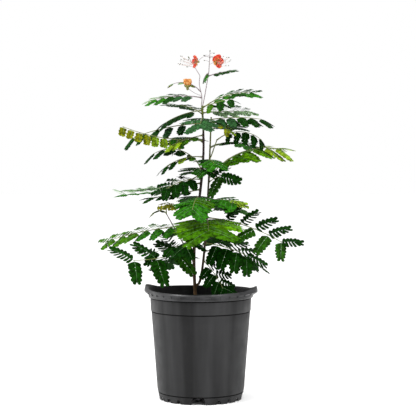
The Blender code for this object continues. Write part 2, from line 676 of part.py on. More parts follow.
def grow_raceme(raceme, rng, taken):
    """A rib that carries buds round its upper half, where they find room, and open flowers below them."""
    limb = limb_named(raceme.limb)
    axis = limb_axis(limb, 1)
    start, top = limb_point(limb, 1) + axis * CLEARANCE, Vector(raceme.top) * MM
    points = bowed_line(start, top, 0, 3)
    radii = [raceme.rib_radius * MM * (1 - 0.4 * step / 3) for step in range(4)]
    obj = add_object(raceme.name, tube(points, radii, STALK_SIDES, FRONT, axis), "flower")
    shapes = [bud(top, (top - start).normalized(), raceme.bud_length * MM)]
    for number in range(raceme.buds):
        base = start.lerp(top, 0.35 + 0.6 * number / raceme.buds)
        heading = math.degrees(number * GOLDEN_ANGLE)
        out = (level_direction(heading) + UP * rng.uniform(0.1, 0.5)).normalized()
        end = base + out * (raceme.spread * MM * (1.15 - 0.5 * number / raceme.buds))
        pair = [pedicel(base, end, 2 * MM), bud(end, out, raceme.bud_length * MM * rng.uniform(0.8, 1.1))]
        if not any(overlaps(shape, taken.values()) for shape in pair):
            shapes += pair
    for flower in raceme.flowers:
        centre = Vector(flower.centre) * MM
        shapes.append(pedicel(start.lerp(top, 0.7), centre, 7 * MM))
        shapes += flower_shapes(flower, PETAL_OPENING)
    join_with(obj, shapes, "UNION", "flower")
    taken[obj.name] = tree_of(obj)


def grow_young_flower(taken):
    """A flower about to open, on a stalk of its own."""
    limb = limb_named("flower_stalk_left")
    centre = Vector(YOUNG_FLOWER.centre) * MM
    share = limb_share(limb, YOUNG_FLOWER_HEIGHT)
    start, out = beside_limb(limb, share, centre - limb_point(limb, share))
    points = bowed_line(start, centre, -3 * MM, PEDICEL_STEPS)
    obj = add_object("flower_young", tube(points, [PEDICEL_RADIUS] * len(points), RIB_SIDES, UP, out), "flower")
    join_with(obj, flower_shapes(YOUNG_FLOWER, YOUNG_OPENING), "UNION", "flower")
    taken[obj.name] = tree_of(obj)


def tree_of(obj):
    shape = bmesh.new()
    shape.from_mesh(obj.data)
    tree = BVHTree.FromBMesh(shape)
    shape.free()
    return tree


def main():
    clear_scene()
    make_pot()
    make_soil()
    for limb in LIMBS:
        add_object(limb.name, limb_shape(limb), "bark" if limb.sides == STEM_SIDES else "stalk")
    taken = {obj.name: tree_of(obj) for obj in bpy.context.scene.objects}
    rng = random.Random(SEED)
    for raceme in RACEMES:
        grow_raceme(raceme, rng, taken)
    grow_young_flower(taken)
    grow_fronds(taken)


main()
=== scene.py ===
"""Peacock flower shrub in its nursery pot: the finish of every surface. Metres, +Z up, front to -Y."""

import json
import math
import random
from collections import namedtuple

import bmesh
import bpy
import numpy as np
from mathutils import Matrix, Vector, noise
from mathutils.kdtree import KDTree

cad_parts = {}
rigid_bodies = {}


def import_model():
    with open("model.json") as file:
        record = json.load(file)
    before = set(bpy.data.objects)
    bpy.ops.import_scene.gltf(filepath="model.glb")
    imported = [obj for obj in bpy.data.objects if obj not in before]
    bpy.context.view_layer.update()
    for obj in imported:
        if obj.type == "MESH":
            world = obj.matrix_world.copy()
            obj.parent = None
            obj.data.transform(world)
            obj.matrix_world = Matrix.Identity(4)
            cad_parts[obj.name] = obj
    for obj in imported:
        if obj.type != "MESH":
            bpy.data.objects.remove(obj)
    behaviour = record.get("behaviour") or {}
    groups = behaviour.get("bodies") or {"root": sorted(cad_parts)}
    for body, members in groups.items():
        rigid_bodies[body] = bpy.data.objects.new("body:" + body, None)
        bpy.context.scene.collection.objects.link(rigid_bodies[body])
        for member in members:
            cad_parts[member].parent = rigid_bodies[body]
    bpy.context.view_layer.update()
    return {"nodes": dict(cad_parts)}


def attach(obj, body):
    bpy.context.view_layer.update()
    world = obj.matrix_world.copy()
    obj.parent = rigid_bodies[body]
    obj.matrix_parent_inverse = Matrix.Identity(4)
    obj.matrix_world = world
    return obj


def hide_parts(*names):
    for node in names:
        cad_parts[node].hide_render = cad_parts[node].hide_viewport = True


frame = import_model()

MM = 0.001
SEED = 7
CLEARANCE = 0.3 * MM
HAIR = 0.01 * MM  # lengths that differ by less count as the same
UP = Vector((0, 0, 1))
FRONT = Vector((0, -1, 0))
GOLDEN_ANGLE = 137.5
SHARP_FROM = math.radians(38)  # an edge that turns further shows as a crease

# Camera: where it looks, how far off it stands and how far above level
CAMERA_TARGET = Vector((0.018, 0, 0.4765))
CAMERA_DISTANCE = 3.0
CAMERA_RISE = math.radians(1.6)
CAMERA_LENS = 103.8

# Studio: the soft light all round, weaker at the horizon than overhead, the white floor, and the lamps
# as (name, place, what it is turned to, width and height, watts)
SKY_LOW = 0.42
SKY_HIGH = 1.55
FLOOR_RADIUS = 30
FLOOR_WHITE = (0.97, 0.97, 0.97, 1)
LAMPS = (
    ("top_left", (-1.5, -0.9, 2.2), (0, 0, 0.3), (1.2, 1.2), 39),
    ("top_right", (1.2, -1.6, 2.2), (0, 0, 0.3), (1.2, 1.2), 28),
    ("left", (-2.3, 0.35, 0.8), (0, 0.35, 0.8), (3.4, 1.8), 30),
    ("right", (2.1, -1.1, 0.8), (0, 0, 0.5), (2.6, 1.8), 13),
)

# Pot, a turned shell on a notched foot ring
POT_HEIGHT = 271 * MM
POT_WALL = 2.6 * MM
POT_SEGMENTS = 180
FOOT_RADIUS = 103.4 * MM
FOOT_BAND_HEIGHT = 20 * MM
FOOT_BAND_RADIUS = 106.9 * MM
FOOT_BAND_STEP = 0.9 * MM
BODY_FOOT_HEIGHT = 30 * MM
BODY_FOOT_RADIUS = 109.2 * MM
COLLAR_HEIGHT = 221 * MM
BODY_TOP_RADIUS = 123.6 * MM
BODY_STEPS = 8
COLLAR_STEP = 1.6 * MM
COLLAR_BOW = 0.8 * MM
COVE_DEPTH = 1.2 * MM  # of the groove under the lip, the collar and the wall
COVE_HEIGHT = 2.8 * MM
COVE_BACK = 0.4 * MM  # height of its upright back
BAND_CHAMFER = (0.3 * MM, 0.5 * MM)  # of the next band's lower edge
COLLAR_TOP_RADIUS = 126.4 * MM
LIP_HEIGHT = 16.5 * MM
LIP_RADIUS = 131 * MM
LIP_ROUNDING = 6 * MM
LIP_CROWN = 13 * MM  # height of the lip's rounded face
LIP_CROWN_STEPS = 16
LIP_BEAD = 1.2 * MM  # rounding of its lower edge
LIP_OVERHANG = 1 * MM
LIP_INNER_EDGE = (1 * MM, 1.5 * MM)
BASE_LIFT = 20 * MM
BASE_THICKNESS = 2.6 * MM
EAR_RISE = 14 * MM
EAR_REACH = 13.5 * MM
EAR_TURN = math.radians(-10)  # the right ear is the nearer one
EAR_SWELL = 0.25
EAR_ROOT = (0.5, 0.66)  # shares of the lip's height between which the ear's movement sets in
EAR_INNER_SHARE = 0.5  # of the ear's movement, that the inner side of the lip makes
EAR_HALF_ANGLE = math.radians(30)
NOTCH_TURN = math.radians(-93)
DRAIN_NOTCHES = 4
DRAIN_NOTCH = (33 * MM, 18 * MM, 4 * MM)  # width, height, and how far a tab hangs in its middle
SMALL_NOTCH = (11 * MM, 9.5 * MM, 0)
NOTCH_STEPS = 16
NOTCH_LEAN = 0.12  # widening at its foot, by its width
NOTCH_SKIRT = 0.62  # half width below the ground, by its width
NOTCH_TAB_SHARE = 0.28
SMALL_NOTCH_TURNS = [math.radians(a) for a in (28, 45, 62)]
LIP_RIBS = 33
LIP_RIB = (1.5 * MM, 0.9 * MM)  # width, and how far it stands out
LIP_RIB_TURN = NOTCH_TURN + math.radians(3)
LIP_RIB_ROUNDING = 0.3  # by its width
LIP_RIB_SEAT = 0.2  # by how far it stands out

# Soil, with bark chips on it
SOIL_LEVEL = 246 * MM
SOIL_EDGE_DROP = 6 * MM
SOIL_GAP = 3 * CLEARANCE
SOIL_LUMPS = (70, 1.6)  # how fine, and how high in mm
SOIL_CRUMBS = (260, 0.8)
SOIL_SINK = 0.8  # mm
SOIL_SEGMENTS = 96
SOIL_RINGS = 26
CHIPS = 900
CHIP_SIZES = ((3, 11), (2, 6), (1, 2.4))  # mm, from and to, of its length, width and thickness
CHIP_ROUGHNESS = 0.35
CHIP_TILT = 0.35  # radians
CHIP_SEAT = 0.3  # of its thickness, that its middle lies over the soil
CHIP_MARGIN = 4 * MM  # from the wall
CHIP_SQUARE_MARGIN = 5 * MM  # of the square that the places are drawn from
STEM_CLEARING = 9 * MM  # round the stem's foot, free of chips

# Limbs: stems, boughs and flower stalks
FLARE_HEIGHT = 14 * MM
FLARE = 1.7  # of the main stem's radius, at the soil
FLARE_FALL = 2.5
AXIS_REACH = 0.02  # share of a limb to either side that tells which way it runs
BARK_SIDES = 20
BARK_STEP = 4 * MM
BARK_GRAIN = (900, 0.12, 0.05)  # how fine, its stretch up the stem, and how high by the radius
BARK_PORES = (420, 1.6, 0.3, 0.5)  # how fine, their stretch, how rare, and how high
STALK_SIDES = 8
NODE_SWELL = 0.55  # of the limb's radius, at the foot of a frond
NODE_REACH = 3.2 * MM
GREEN_FROM = 735 * MM  # height at which the bark ends

# Fronds: a rib carries pairs of pinnae, and a pinna pairs of leaflets
PETIOLE_SHARE = 0.27
RIB_STEPS = 6
RIB_RADIUS = 1.5 * MM
RIB_SIDES = 6
RIB_FINENESS = 3  # smooth steps for each of the rib's own
RIB_TIP_SHARE = 0.45
RIB_LEAST_SHARE = 0.75  # of the radius, before a longer rib is made thicker
RIB_THICKENING = 600  # mm of rib that would add a whole radius
PULVINUS = 1.6  # swelling at the foot of each rib
PULVINUS_LENGTH = 5  # mm
GREY_RIBS_FROM = 740  # mm
PINNA_WIDTH_SHARE = 0.67
PINNA_WIDEST = 50 * MM
PINNA_SIZE_LEAST = 0.78  # of a frond's pinnae, by its largest
PINNA_SIZES = (0.93, 1.0)
PINNA_SEAT = 0.4 * MM  # how deep in the rib it starts
LAST_PINNA_SHARE = 0.985  # of the rib's length
PAIR_STAGGER = 1.5 * MM
PINNA_SWELL_FROM = 0.2  # share of a half wave at which a row of sizes begins, and over which it runs
LEAFLET_SWELL_FROM = 0.12
SWELL_OVER = 0.6
PINNA_ESCAPES = (0, 12, -12, 24, -24, 38)
RIB_ESCAPES = (0, 4, -4, 8, -8, 12, -12)
JITTER = 5
SAME_PLACE = 0.1 * MM  # how near a solid's own point has to be

MIDRIB_SIDES = 4
MIDRIB_STEPS = 5
MIDRIB_RADIUS = 0.55 * MM
MIDRIB_BOW = 0.04  # of its length
MIDRIB_LENGTH_SHARE = 0.93
MIDRIB_TIP_SHARE = 0.3
DARK_MIDRIBS_FROM = 450  # mm
LEAFLET_SPACING = (4.8 * MM, 0.055)  # and the share of the pinna's length added to it
LEAFLET_OVERLAP = 1.22  # leaflet's width by the spacing
LEAFLET_ANGLES = (72, 24)  # of the first pair and the last
LEAFLET_WIDEST_ANGLE = 70
FIRST_LEAFLET = 0.9  # of the spacing, from the rib
LEAFLET_FREE_TIP = 0.5  # of the longest leaflet, that needs no pair of its own
LEAFLET_DRIFTS = (6, 4, 7)  # degrees either way, of the fold, the angle and the twist
LEAFLET_WIDTHS = (0.92, 1.08)
LEAFLET_LENGTHS = (0.93, 1.05)
LEAFLET_ROUNDING = (0.62, 0.7)  # powers that fill out its length and its breadth
LEAFLET_TIP_SWELL = 0.2
LEAFLET_SIZE_LEAST = 0.72  # by the pinna's longest
LEAFLET_TIP_SHARE = 0.62  # of the longest leaflet that reaches past the last pair
LEAFLET_SEAT = 0.07  # share of a leaflet that lies under its midrib
LEAFLET_FOLD = 14  # degrees that each half of a pinna hangs below its midrib
LEAFLET_CREASE = 0.16
LEAFLET_THICKNESS = 0.05  # by its width

Limb = namedtuple("Limb", "name parent foot top bend sway foot_radius tip_radius finish")
Frond = namedtuple(
    "Frond",
    "name limb height heading length rise droop pairs pinna hang tilt near far twist extra"
    " angles far_angles far_hangs far_twist",
    defaults=("dark", "dark", 14, 1, (72, 42), None, None, None),
)

# The limbs in millimetres, as the solids have them
LIMBS = (
    Limb("stem_main", None, (-13, 0, 246), (3, 0, 732), 1.0, -7.5, 4.2, 2.3, "bark_main"),
    Limb("stem_second", "stem_main", (-9, 2, 282), (26, 10, 704), 0.4, 0, 3.2, 1.7, "bark_second"),
    Limb("side_shoot", "stem_main", (-20, 3, 345), (-88, 14, 464), 1.0, 0, 2.0, 1.2, "stalk_grey"),
    Limb("side_twig", "stem_second", (24, 9, 602), (40, 2, 646), 1.0, 0, 1.5, 1.1, "stalk_olive"),
    Limb("flower_stalk_left", "stem_main", (1.3, 0, 732), (-2, 0, 806), 1.0, 2.5, 1.1, 0.9, "stalk_grey"),
    Limb("flower_stalk_right", "stem_main", (4.8, 0, 732), (20, 1, 816), 0.9, 0, 1.2, 0.9, "stalk_grey"),
)

# The solids' own numbers, then the tones of the near and the far pinnae from the stem outwards, which hold
# painted shade and painted light as told at the leaf colours, how far the leaflets are twisted, and whether a
# pair of pinnae stands between each two
FRONDS = (
    Frond(
        "frond_tip_left", "flower_stalk_left", 768, 176, 76, 50, 70, 2, 22, 15, 0,
        "olive pale", "bronze", 20, 1,
    ),
    Frond("frond_tip_right", "flower_stalk_right", 806, 2, 58, 20, 14, 3, 26, 5, 12, "dark", "mid", 10, 1),
    Frond("frond_tip_tuft", "flower_stalk_right", 812, 212, 18, -20, 60, 2, 15, 45, 0, "mid", "dark", 10, 1),
    Frond(
        "frond_top_left", "flower_stalk_left", 752, 183, 118, 9, 24, 5, 42, 14, 12,
        "blue dark mid", "dark fresh leaf", 14, 0, (56, 32), None, (-2, 6),
    ),
    Frond(
        "frond_top_right", "stem_main", 727, 356, 124, 37, 39, 5, 42, 8, 18,
        "mid dark mid", "mid dark", 14, 0, (52, 30), None, (2, 2),
    ),
    Frond("frond_node_right", "stem_main", 729, 326, 80, 14, 4, 2, 36, 34, 20, "fresh dark", "dark", 14, 1),
    Frond("frond_upper_right", "stem_main", 714, 22, 108, 6, 6, 4, 48, 0, 24, "pale", "pale dark", 25, 0),
    Frond("frond_upper_left", "stem_main", 720, 192, 98, -6, 26, 4, 40, 16, 0, "deep", "deep", 14, 1),
    Frond("frond_upper_back", "stem_main", 712, 128, 120, 25, 25, 3, 45, 0, 0),
    Frond("frond_front_left", "stem_main", 700, 266, 72, 2, 30, 2, 56, 6, 0, "blue", "deep blue", 16, 1),
    Frond(
        "frond_high_right", "stem_main", 694, 349, 146, 11, 20, 5, 48, 24, 8,
        "blue dark deep", "deep", 14, 0,
    ),
    Frond(
        "frond_high_left", "stem_main", 688, 178, 180, -2, 20, 5, 44, 34, 0,
        "blue dark", "deep blue", 16, 0,
    ),
    Frond("frond_young_right", "stem_second", 692, 312, 62, 6, 50, 2, 32, 10, 0, "gold", "lime", 20, 1),
    Frond("frond_high_back_right", "stem_second", 672, 62, 130, 20, 30, 3, 50, 5, 0),
    Frond(
        "frond_golden_left", "stem_main", 646, 182, 206, -3, -24, 8, 28, 58, 0,
        "mid lime gold gold", "lime gold", 40, 0, (96, 60),
    ),
    Frond("frond_inner_left", "stem_main", 658, 203, 90, -10, 15, 4, 40, 15, 0, "fresh lime", "dark", 14, 0),
    Frond("frond_mid_back_left", "stem_main", 640, 118, 150, 20, 35, 3, 50, 5, 0, "dark", "mid", 14, 1),
    Frond(
        "frond_arch_right", "side_twig", 646, 350, 122, 40, 80, 5, 36, 60, 0,
        "deep", "deep", 12, 0, (92, 76), None, (20, 30),
    ),
    Frond("frond_mid_back_right", "stem_second", 628, 48, 150, 20, 35, 3, 50, 5, 0, "dark", "mid", 14, 1),
    Frond(
        "frond_mid_left", "stem_main", 604, 199, 100, 6, 42, 4, 38, 15, 0,
        "fresh lime deep", "dark", 14, 0,
    ),
    Frond("frond_mid_front", "stem_main", 594, 292, 72, 14, 40, 3, 42, 10, 0, "dark mid", "mid", 14, 1),
    Frond("frond_mid_tuft", "stem_second", 572, 262, 42, 16, 40, 2, 36, 14, 0, "dark", "mid", 14, 1),
    Frond("frond_arch_left", "stem_main", 574, 178, 143, 66, 98, 5, 42, 25, 0, "dark", "dark blue", 14, 0),
    Frond(
        "frond_spread_right", "stem_second", 552, 353, 196, 56, 66, 6, 62, 26, 8,
        "fresh leaf lime", "leaf lime", 16, 0, (42, 26), (60, 35), (4, 4),
    ),
    Frond(
        "frond_sweep_left", "stem_main", 560, 186, 198, -30, -30, 6, 44, 0, 0,
        "mid", "pale", 20, 0, (60, 35), None, (-26, -20),
    ),
    Frond(
        "frond_hanging_right", "stem_second", 542, 335, 32, 36, 20, 2, 66, 6, 60,
        "moss", "deep dark", 12, 0, (126, 122), (40, 12), (24, 36), 40,
    ),
    Frond("frond_cluster_left", "stem_main", 548, 214, 104, 4, 34, 4, 48, 14, 25, "deep", "deep", 42, 0),
    Frond("frond_pale_left", "stem_main", 538, 166, 175, -8, -4, 4, 45, 0, 0, "pale", "pale", 25, 1),
    Frond("frond_centre_back", "stem_main", 496, 95, 160, 15, 35, 4, 55, 8, 0),
    Frond("frond_lower_left", "stem_main", 522, 196, 124, -12, -6, 4, 42, 10, 0, "dark", "deep", 14, 0),
    Frond("frond_right_back", "stem_second", 474, 62, 165, 15, 35, 4, 55, 8, 0, "mid", "dark", 14, 1),
    Frond(
        "frond_centre_front", "stem_main", 500, 263, 130, 10, 42, 4, 58, 8, 0,
        "mid fresh mid", "mid", 18, 1,
    ),
    Frond(
        "frond_right_upper", "stem_second", 493, 314, 86, 16, 36, 4, 50, 8, 12, "mid", "mid mid lime", 28, 1,
    ),
    # painted light: the brighter near tones by the stem offset the shadow that the fronds above cast there
    Frond(
        "frond_big_right", "stem_second", 452, 335, 209, -4, 24, 5, 62, 22, 34,
        "leaf leaf moss moss moss", "deep", 6, 0, (214, 60), (52, 24), (-34, -12), 30,
    ),
    Frond("frond_low_back_left", "stem_main", 428, 104, 160, 10, 32, 4, 60, 8, 0, "dark", "mid", 14, 1),
    Frond("frond_shoot_tip", "side_shoot", 464, 188, 32, 40, 80, 2, 23, 10, 0, "olive", "olive", 20, 1),
    Frond(
        "frond_shoot_side", "side_shoot", 462, 280, 60, 88, 116, 2, 28, 16, 0,
        "bronze", "bronze gold", 10, 1,
    ),
    # painted light: the brighter tone on the pinnae nearer the stem offsets the shadow that
    # frond_centre_front casts on it
    Frond(
        "frond_front_low", "stem_second", 448, 272, 147, 4, 26, 4, 98, 5, 0,
        "leaf leaf fresh", "leaf leaf fresh", 6, 1,
    ),
    Frond(
        "frond_long_low_left", "stem_main", 432, 181, 208, -2, 15, 6, 50, 10, 22,
        "mid mid fresh fresh", "pale fresh fresh", 18, 0, (56, 30), (60, 34), (0, 6),
    ),
    Frond("frond_low_back", "stem_second", 405, 78, 150, 12, 35, 4, 60, 8, 0),
    Frond(
        "frond_low_left", "stem_main", 372, 205, 162, -16, -16, 3, 75, 36, 36,
        "moss dark", "dark", 14, 0, (116, 76), (62, 34), (-18, -11), 30,
    ),
    Frond(
        "frond_low_mid_left", "stem_main", 384, 190, 94, 0, 20, 4, 54, 10, 36,
        "dark deep", "dark", 38, 0, (66, 34), (56, 30), (-8, 6), 44,
    ),
    Frond("frond_low_front_left", "stem_main", 398, 250, 62, 0, 26, 2, 57, 22, 0, "deep", "deep", 10, 0),
    Frond(
        "frond_low_right", "stem_second", 388, 342, 110, -6, 18, 4, 66, 36, 30,
        "deep dark", "dark", 14, 0, (104, 62), (58, 26), (-4, 14), 30,
    ),
    Frond("frond_lowest_side", "stem_second", 368, 32, 150, 5, 35, 3, 58, 10, 0),
    Frond("frond_lowest_back", "stem_main", 350, 118, 160, 10, 35, 3, 60, 10, 0),
    Frond("frond_lowest_right", "stem_second", 343, 318, 90, -36, 20, 4, 45, 5, 30, "deep", "deep", 34, 0),
    Frond("frond_middle_back", "stem_main", 566, 100, 140, 18, 35, 3, 48, 5, 0, "dark", "mid", 14, 1),
)

# Leaf colours as a paint maker would mix them, 0 to 255, partly the leaves' own and partly painted light and
# shade:
# deep and dark are painted shade for fronds that lie in shade, and leaf near the stem of shaded fronds is
# painted light
LEAF_TONES = {
    "deep": (7, 37, 1),
    "dark": (14, 47, 4),
    "blue": (36, 68, 36),
    "moss": (27, 60, 9),
    "mid": (32, 80, 12),
    "fresh": (44, 80, 5),
    "leaf": (66, 106, 8),
    "lime": (98, 122, 22),
    "gold": (94, 99, 12),
    "olive": (70, 80, 20),
    "pale": (98, 124, 88),
    "bronze": (120, 120, 32),
}

# Flowers
PETALS = 5
PETAL_LENGTH = 18 * MM
PETAL_WIDTH = 15 * MM
PETAL_THICKNESS = 0.3 * MM
PETAL_CLAW = 0.16  # its foot's width, by the whole
PETAL_FAN = (0.12, 0.62, 1.3)  # where it opens out from, over what share, and how late
PETAL_TIP = (0.72, 0.12, 0.05)  # where it rounds off from, how slowly, and the least
PETAL_SIDE_LAG = 0.10
PETAL_CRIMP = 1.1 * MM
PETAL_FINE_CRIMP = 0.8 * MM
SMALL_PETAL = (0.75, 0.6)  # length and width of the upright one, by the others
SEPAL_LENGTH = 9 * MM
SEPAL_RISE = 0.5
CALYX_BACK = 1.5  # mm
CALYX_LENGTH = 8 * MM
CALYX_SHARE = 0.7  # its width, by its length
YOUNG_LEAN = 0.2
STAMENS = 10
STAMEN_LENGTH = 46 * MM
STAMEN_SPREAD = 13 * MM
STAMEN_LENGTHS = (0.9, 1.05)
STAMEN_SPREADS = (0.4, 1.2)
STAMEN_BOW = 0.12  # of its length
FILAMENT_RADIUS = 0.22 * MM
ANTHER_LENGTH = 3 * MM
ANTHER_SHARE = 0.6
RACEME_STEPS = 8
RACEME_TAPER = 0.4
BUD_SHARE = 0.42
BUD_LENGTHS = (0.8, 1.1)
BUDS_FROM, BUDS_OVER = 0.35, 0.6  # shares of the raceme
BUD_RISES = (0.1, 0.5)
BUD_REACH, BUD_REACH_LOSS = 1.15, 0.5  # of the lowest bud by the raceme's spread, and less further up
BUD_STALK_RADIUS = 0.4 * MM
BUD_STALK_BOW = 2 * MM
PEDICEL_FROM = 0.7  # share of the raceme
PEDICEL_RADIUS = 0.56 * MM
PEDICEL_BOW = 7 * MM
PEDICEL_SAG = 3 * MM  # of the young flower's
PEDICEL_STEPS = 8

# A flower's age: the petals' angle from its axis, how far they turn in and their width, by length and width,
# and how wide the sepals are
Age = namedtuple("Age", "opening curl width_share sepal_width")
OPEN = Age(68, 0.12, 1, 4 * MM)
YOUNG = Age(42, 0.35, 0.85, 10 * MM)

Raceme = namedtuple("Raceme", "name limb top rib_radius buds spread bud_length flowers")
Flower = namedtuple("Flower", "centre heading size")

RACEMES = (
    Raceme(
        "raceme_right", "flower_stalk_right", (23, 2, 868), 1.0, 6, 17, 6,
        (Flower((-8, -12, 840), 204, 1.0), Flower((38, -8, 841), 304, 1.1)),
    ),
    Raceme("raceme_left", "flower_stalk_left", (-30, 3, 852), 0.9, 7, 26, 7, ()),
)
YOUNG_FLOWER = Flower((-33, -6, 776), 0, 1.25)
YOUNG_FLOWER_HEIGHT = 757


# Materials

def paint(colour):
    """A colour of 0 to 255 a channel as the linear light that a shader takes."""
    parts = [part / 255 for part in colour]
    return (*[part / 12.92 if part <= 0.04045 else ((part + 0.055) / 1.055) ** 2.4 for part in parts], 1)


def new_material(name, roughness, specular):
    made = bpy.data.materials.new(name)
    made.use_nodes = True
    shader = made.node_tree.nodes["Principled BSDF"]
    shader.inputs["Roughness"].default_value = roughness
    shader.inputs["Specular IOR Level"].default_value = specular
    return made, made.node_tree, shader


def add_node(tree, kind, **values):
    """A new node with the values of its sockets, whose names have _ for a space here."""
    node = tree.nodes.new(f"ShaderNode{kind}")
    for socket, value in values.items():
        node.inputs[socket.replace("_", " ")].default_value = value
    return node


def pattern(tree, scale, detail=2.0, stretch=(1, 1, 1)):
    """Noise in the object's own coordinates, stretched where the grain runs one way."""
    coordinates = add_node(tree, "TexCoord")
    mapping = add_node(tree, "Mapping", Scale=stretch)
    texture = add_node(tree, "TexNoise", Scale=scale, Detail=detail)
    tree.links.new(coordinates.outputs["Object"], mapping.inputs["Vector"])
    tree.links.new(mapping.outputs["Vector"], texture.inputs["Vector"])
    return texture.outputs["Fac"]


def ramp(tree, factor, stops):
    """Colours along a factor, as (position, colour of 0 to 255)."""
    node = add_node(tree, "ValToRGB")
    elements = node.color_ramp.elements
    while len(elements) < len(stops):
        elements.new(1)
    for element, (position, colour) in zip(elements, stops):
        element.position = position
        element.color = paint(colour)
    tree.links.new(factor, node.inputs["Fac"])
    return node.outputs["Color"]


def vary_roughness(tree, factor, shader, low, high):
    node = add_node(tree, "MapRange", From_Min=0.3, From_Max=0.7, To_Min=low, To_Max=high)
    tree.links.new(factor, node.inputs["Value"])
    tree.links.new(node.outputs["Result"], shader.inputs["Roughness"])


def emboss(tree, factor, shader, strength, distance):
    node = add_node(tree, "Bump", Strength=strength, Distance=distance)
    tree.links.new(factor, node.inputs["Height"])
    tree.links.new(node.outputs["Normal"], shader.inputs["Normal"])


def shaded(colour, share):
    return tuple(part * share for part in colour)


def mottled(name, colour, spread, scale, roughness, specular, relief):
    """A finish whose colour drifts a little either side of one, with fine relief."""
    made, tree, shader = new_material(name, roughness, specular)
    drift = pattern(tree, scale)
    stops = [(0.3, shaded(colour, 1 - spread)), (0.7, shaded(colour, 1 + spread))]
    tree.links.new(ramp(tree, drift, stops), shader.inputs["Base Color"])
    grain = pattern(tree, scale * 6)
    vary_roughness(tree, grain, shader, roughness - 0.08, roughness + 0.08)
    emboss(tree, grain, shader, 0.4, relief)
    return made


def petal(name, stops):
    """A petal's blotches, with a satin sheen and fine veins."""
    made, tree, shader = new_material(name, 0.5, 0.2)
    tree.links.new(ramp(tree, pattern(tree, 190, 3.0), stops), shader.inputs["Base Color"])
    grain = pattern(tree, 1200)
    vary_roughness(tree, grain, shader, 0.42, 0.6)
    emboss(tree, grain, shader, 0.4, 0.2 * MM)
    return made


def rise_factor(tree, source, **values):
    """How high along Z, by the Texture Coordinate socket named, brought to the range given."""
    coordinates = add_node(tree, "TexCoord")
    parts = add_node(tree, "SeparateXYZ")
    node = add_node(tree, "MapRange", **values)
    tree.links.new(coordinates.outputs[source], parts.inputs["Vector"])
    tree.links.new(parts.outputs["Z"], node.inputs["Value"])
    return node.outputs["Result"]


def bark(name, stops):
    """Bark whose colour follows the height, streaked along the stem."""
    made, tree, shader = new_material(name, 0.6, 0.25)
    streaks = pattern(tree, 900, 3.0, (1, 1, 0.12))
    base = ramp(tree, rise_factor(tree, "Object", From_Min=SOIL_LEVEL, From_Max=GREEN_FROM), stops)
    shade = ramp(tree, streaks, [(0.3, (150, 150, 150)), (0.65, (255, 255, 255))])
    blend = tree.nodes.new("ShaderNodeMix")
    blend.data_type = "RGBA"
    blend.blend_type = "MULTIPLY"
    blend.inputs["Factor"].default_value = 1
    tree.links.new(base, blend.inputs["A"])
    tree.links.new(shade, blend.inputs["B"])
    tree.links.new(blend.outputs["Result"], shader.inputs["Base Color"])
    vary_roughness(tree, streaks, shader, 0.5, 0.75)
    emboss(tree, streaks, shader, 0.5, 0.3 * MM)
    return made


def pot_plastic(name, dark, light, stretch, scale, roughness, specular):
    """Moulded dark grey plastic: soft streaks of dark and light, partly the plastic's own and partly painted
    reflections of the lamps, a fine satin grain and a few scuffs.
    """
    made, tree, shader = new_material(name, roughness, specular)
    streaks = pattern(tree, scale, 3.0, stretch)
    colours = ramp(tree, streaks, [(0.35, dark), (0.68, light)])
    tree.links.new(colours, shader.inputs["Base Color"])
    vary_roughness(tree, pattern(tree, 40, 4.0), shader, roughness - 0.07, roughness + 0.07)
    emboss(tree, pattern(tree, 700), shader, 0.25, 0.15 * MM)
    return made


# Colour, how far it drifts, size of the drift, roughness, gloss and relief
MOTTLED_FINISHES = {
    # painted shade: near black for the insides of the coves, where shade falls under the lip and the steps
    "pot_groove": ((12, 12, 12), 0.3, 200, 0.8, 0.08, 0.2 * MM),
    "stalk_grey": ((128, 116, 118), 0.15, 300, 0.55, 0.3, 0.1 * MM),
    "stalk_olive": ((104, 110, 60), 0.2, 300, 0.55, 0.3, 0.1 * MM),
    "midrib_pale": ((92, 128, 84), 0.2, 300, 0.55, 0.3, 0.1 * MM),
    "midrib_dark": ((34, 70, 34), 0.2, 300, 0.55, 0.3, 0.1 * MM),
    "soil": ((50, 38, 28), 0.4, 260, 0.9, 0.2, 1.2 * MM),
    "bark_chips": ((84, 58, 38), 0.5, 160, 0.85, 0.2, 0.8 * MM),
    "sepal": ((120, 120, 60), 0.2, 300, 0.5, 0.3, 0.1 * MM),
    "bud": ((66, 70, 48), 0.4, 160, 0.5, 0.3, 0.1 * MM),
    "filament": ((176, 150, 140), 0.15, 300, 0.5, 0.3, 0.1 * MM),
}
for tone, colour in LEAF_TONES.items():
    MOTTLED_FINISHES[f"leaf_{tone}"] = (colour, 0.42, 110, 0.5, 0.02, 0.15 * MM)

# Colours up the stems, and of the petals' blotches
BARK_MAIN = [
    (0, (104, 78, 44)), (0.14, (72, 52, 32)), (0.35, (44, 30, 26)), (0.85, (48, 32, 30)),
    (0.97, (96, 108, 40)),
]
BARK_SECOND = [(0, (100, 76, 40)), (0.25, (66, 48, 34)), (0.6, (70, 66, 44)), (0.95, (120, 132, 48))]
PETAL_RED = [(0.34, (122, 28, 22)), (0.5, (202, 54, 38)), (0.66, (208, 116, 70))]
PETAL_ORANGE = [(0.34, (170, 96, 40)), (0.5, (206, 138, 70)), (0.66, (214, 176, 118))]


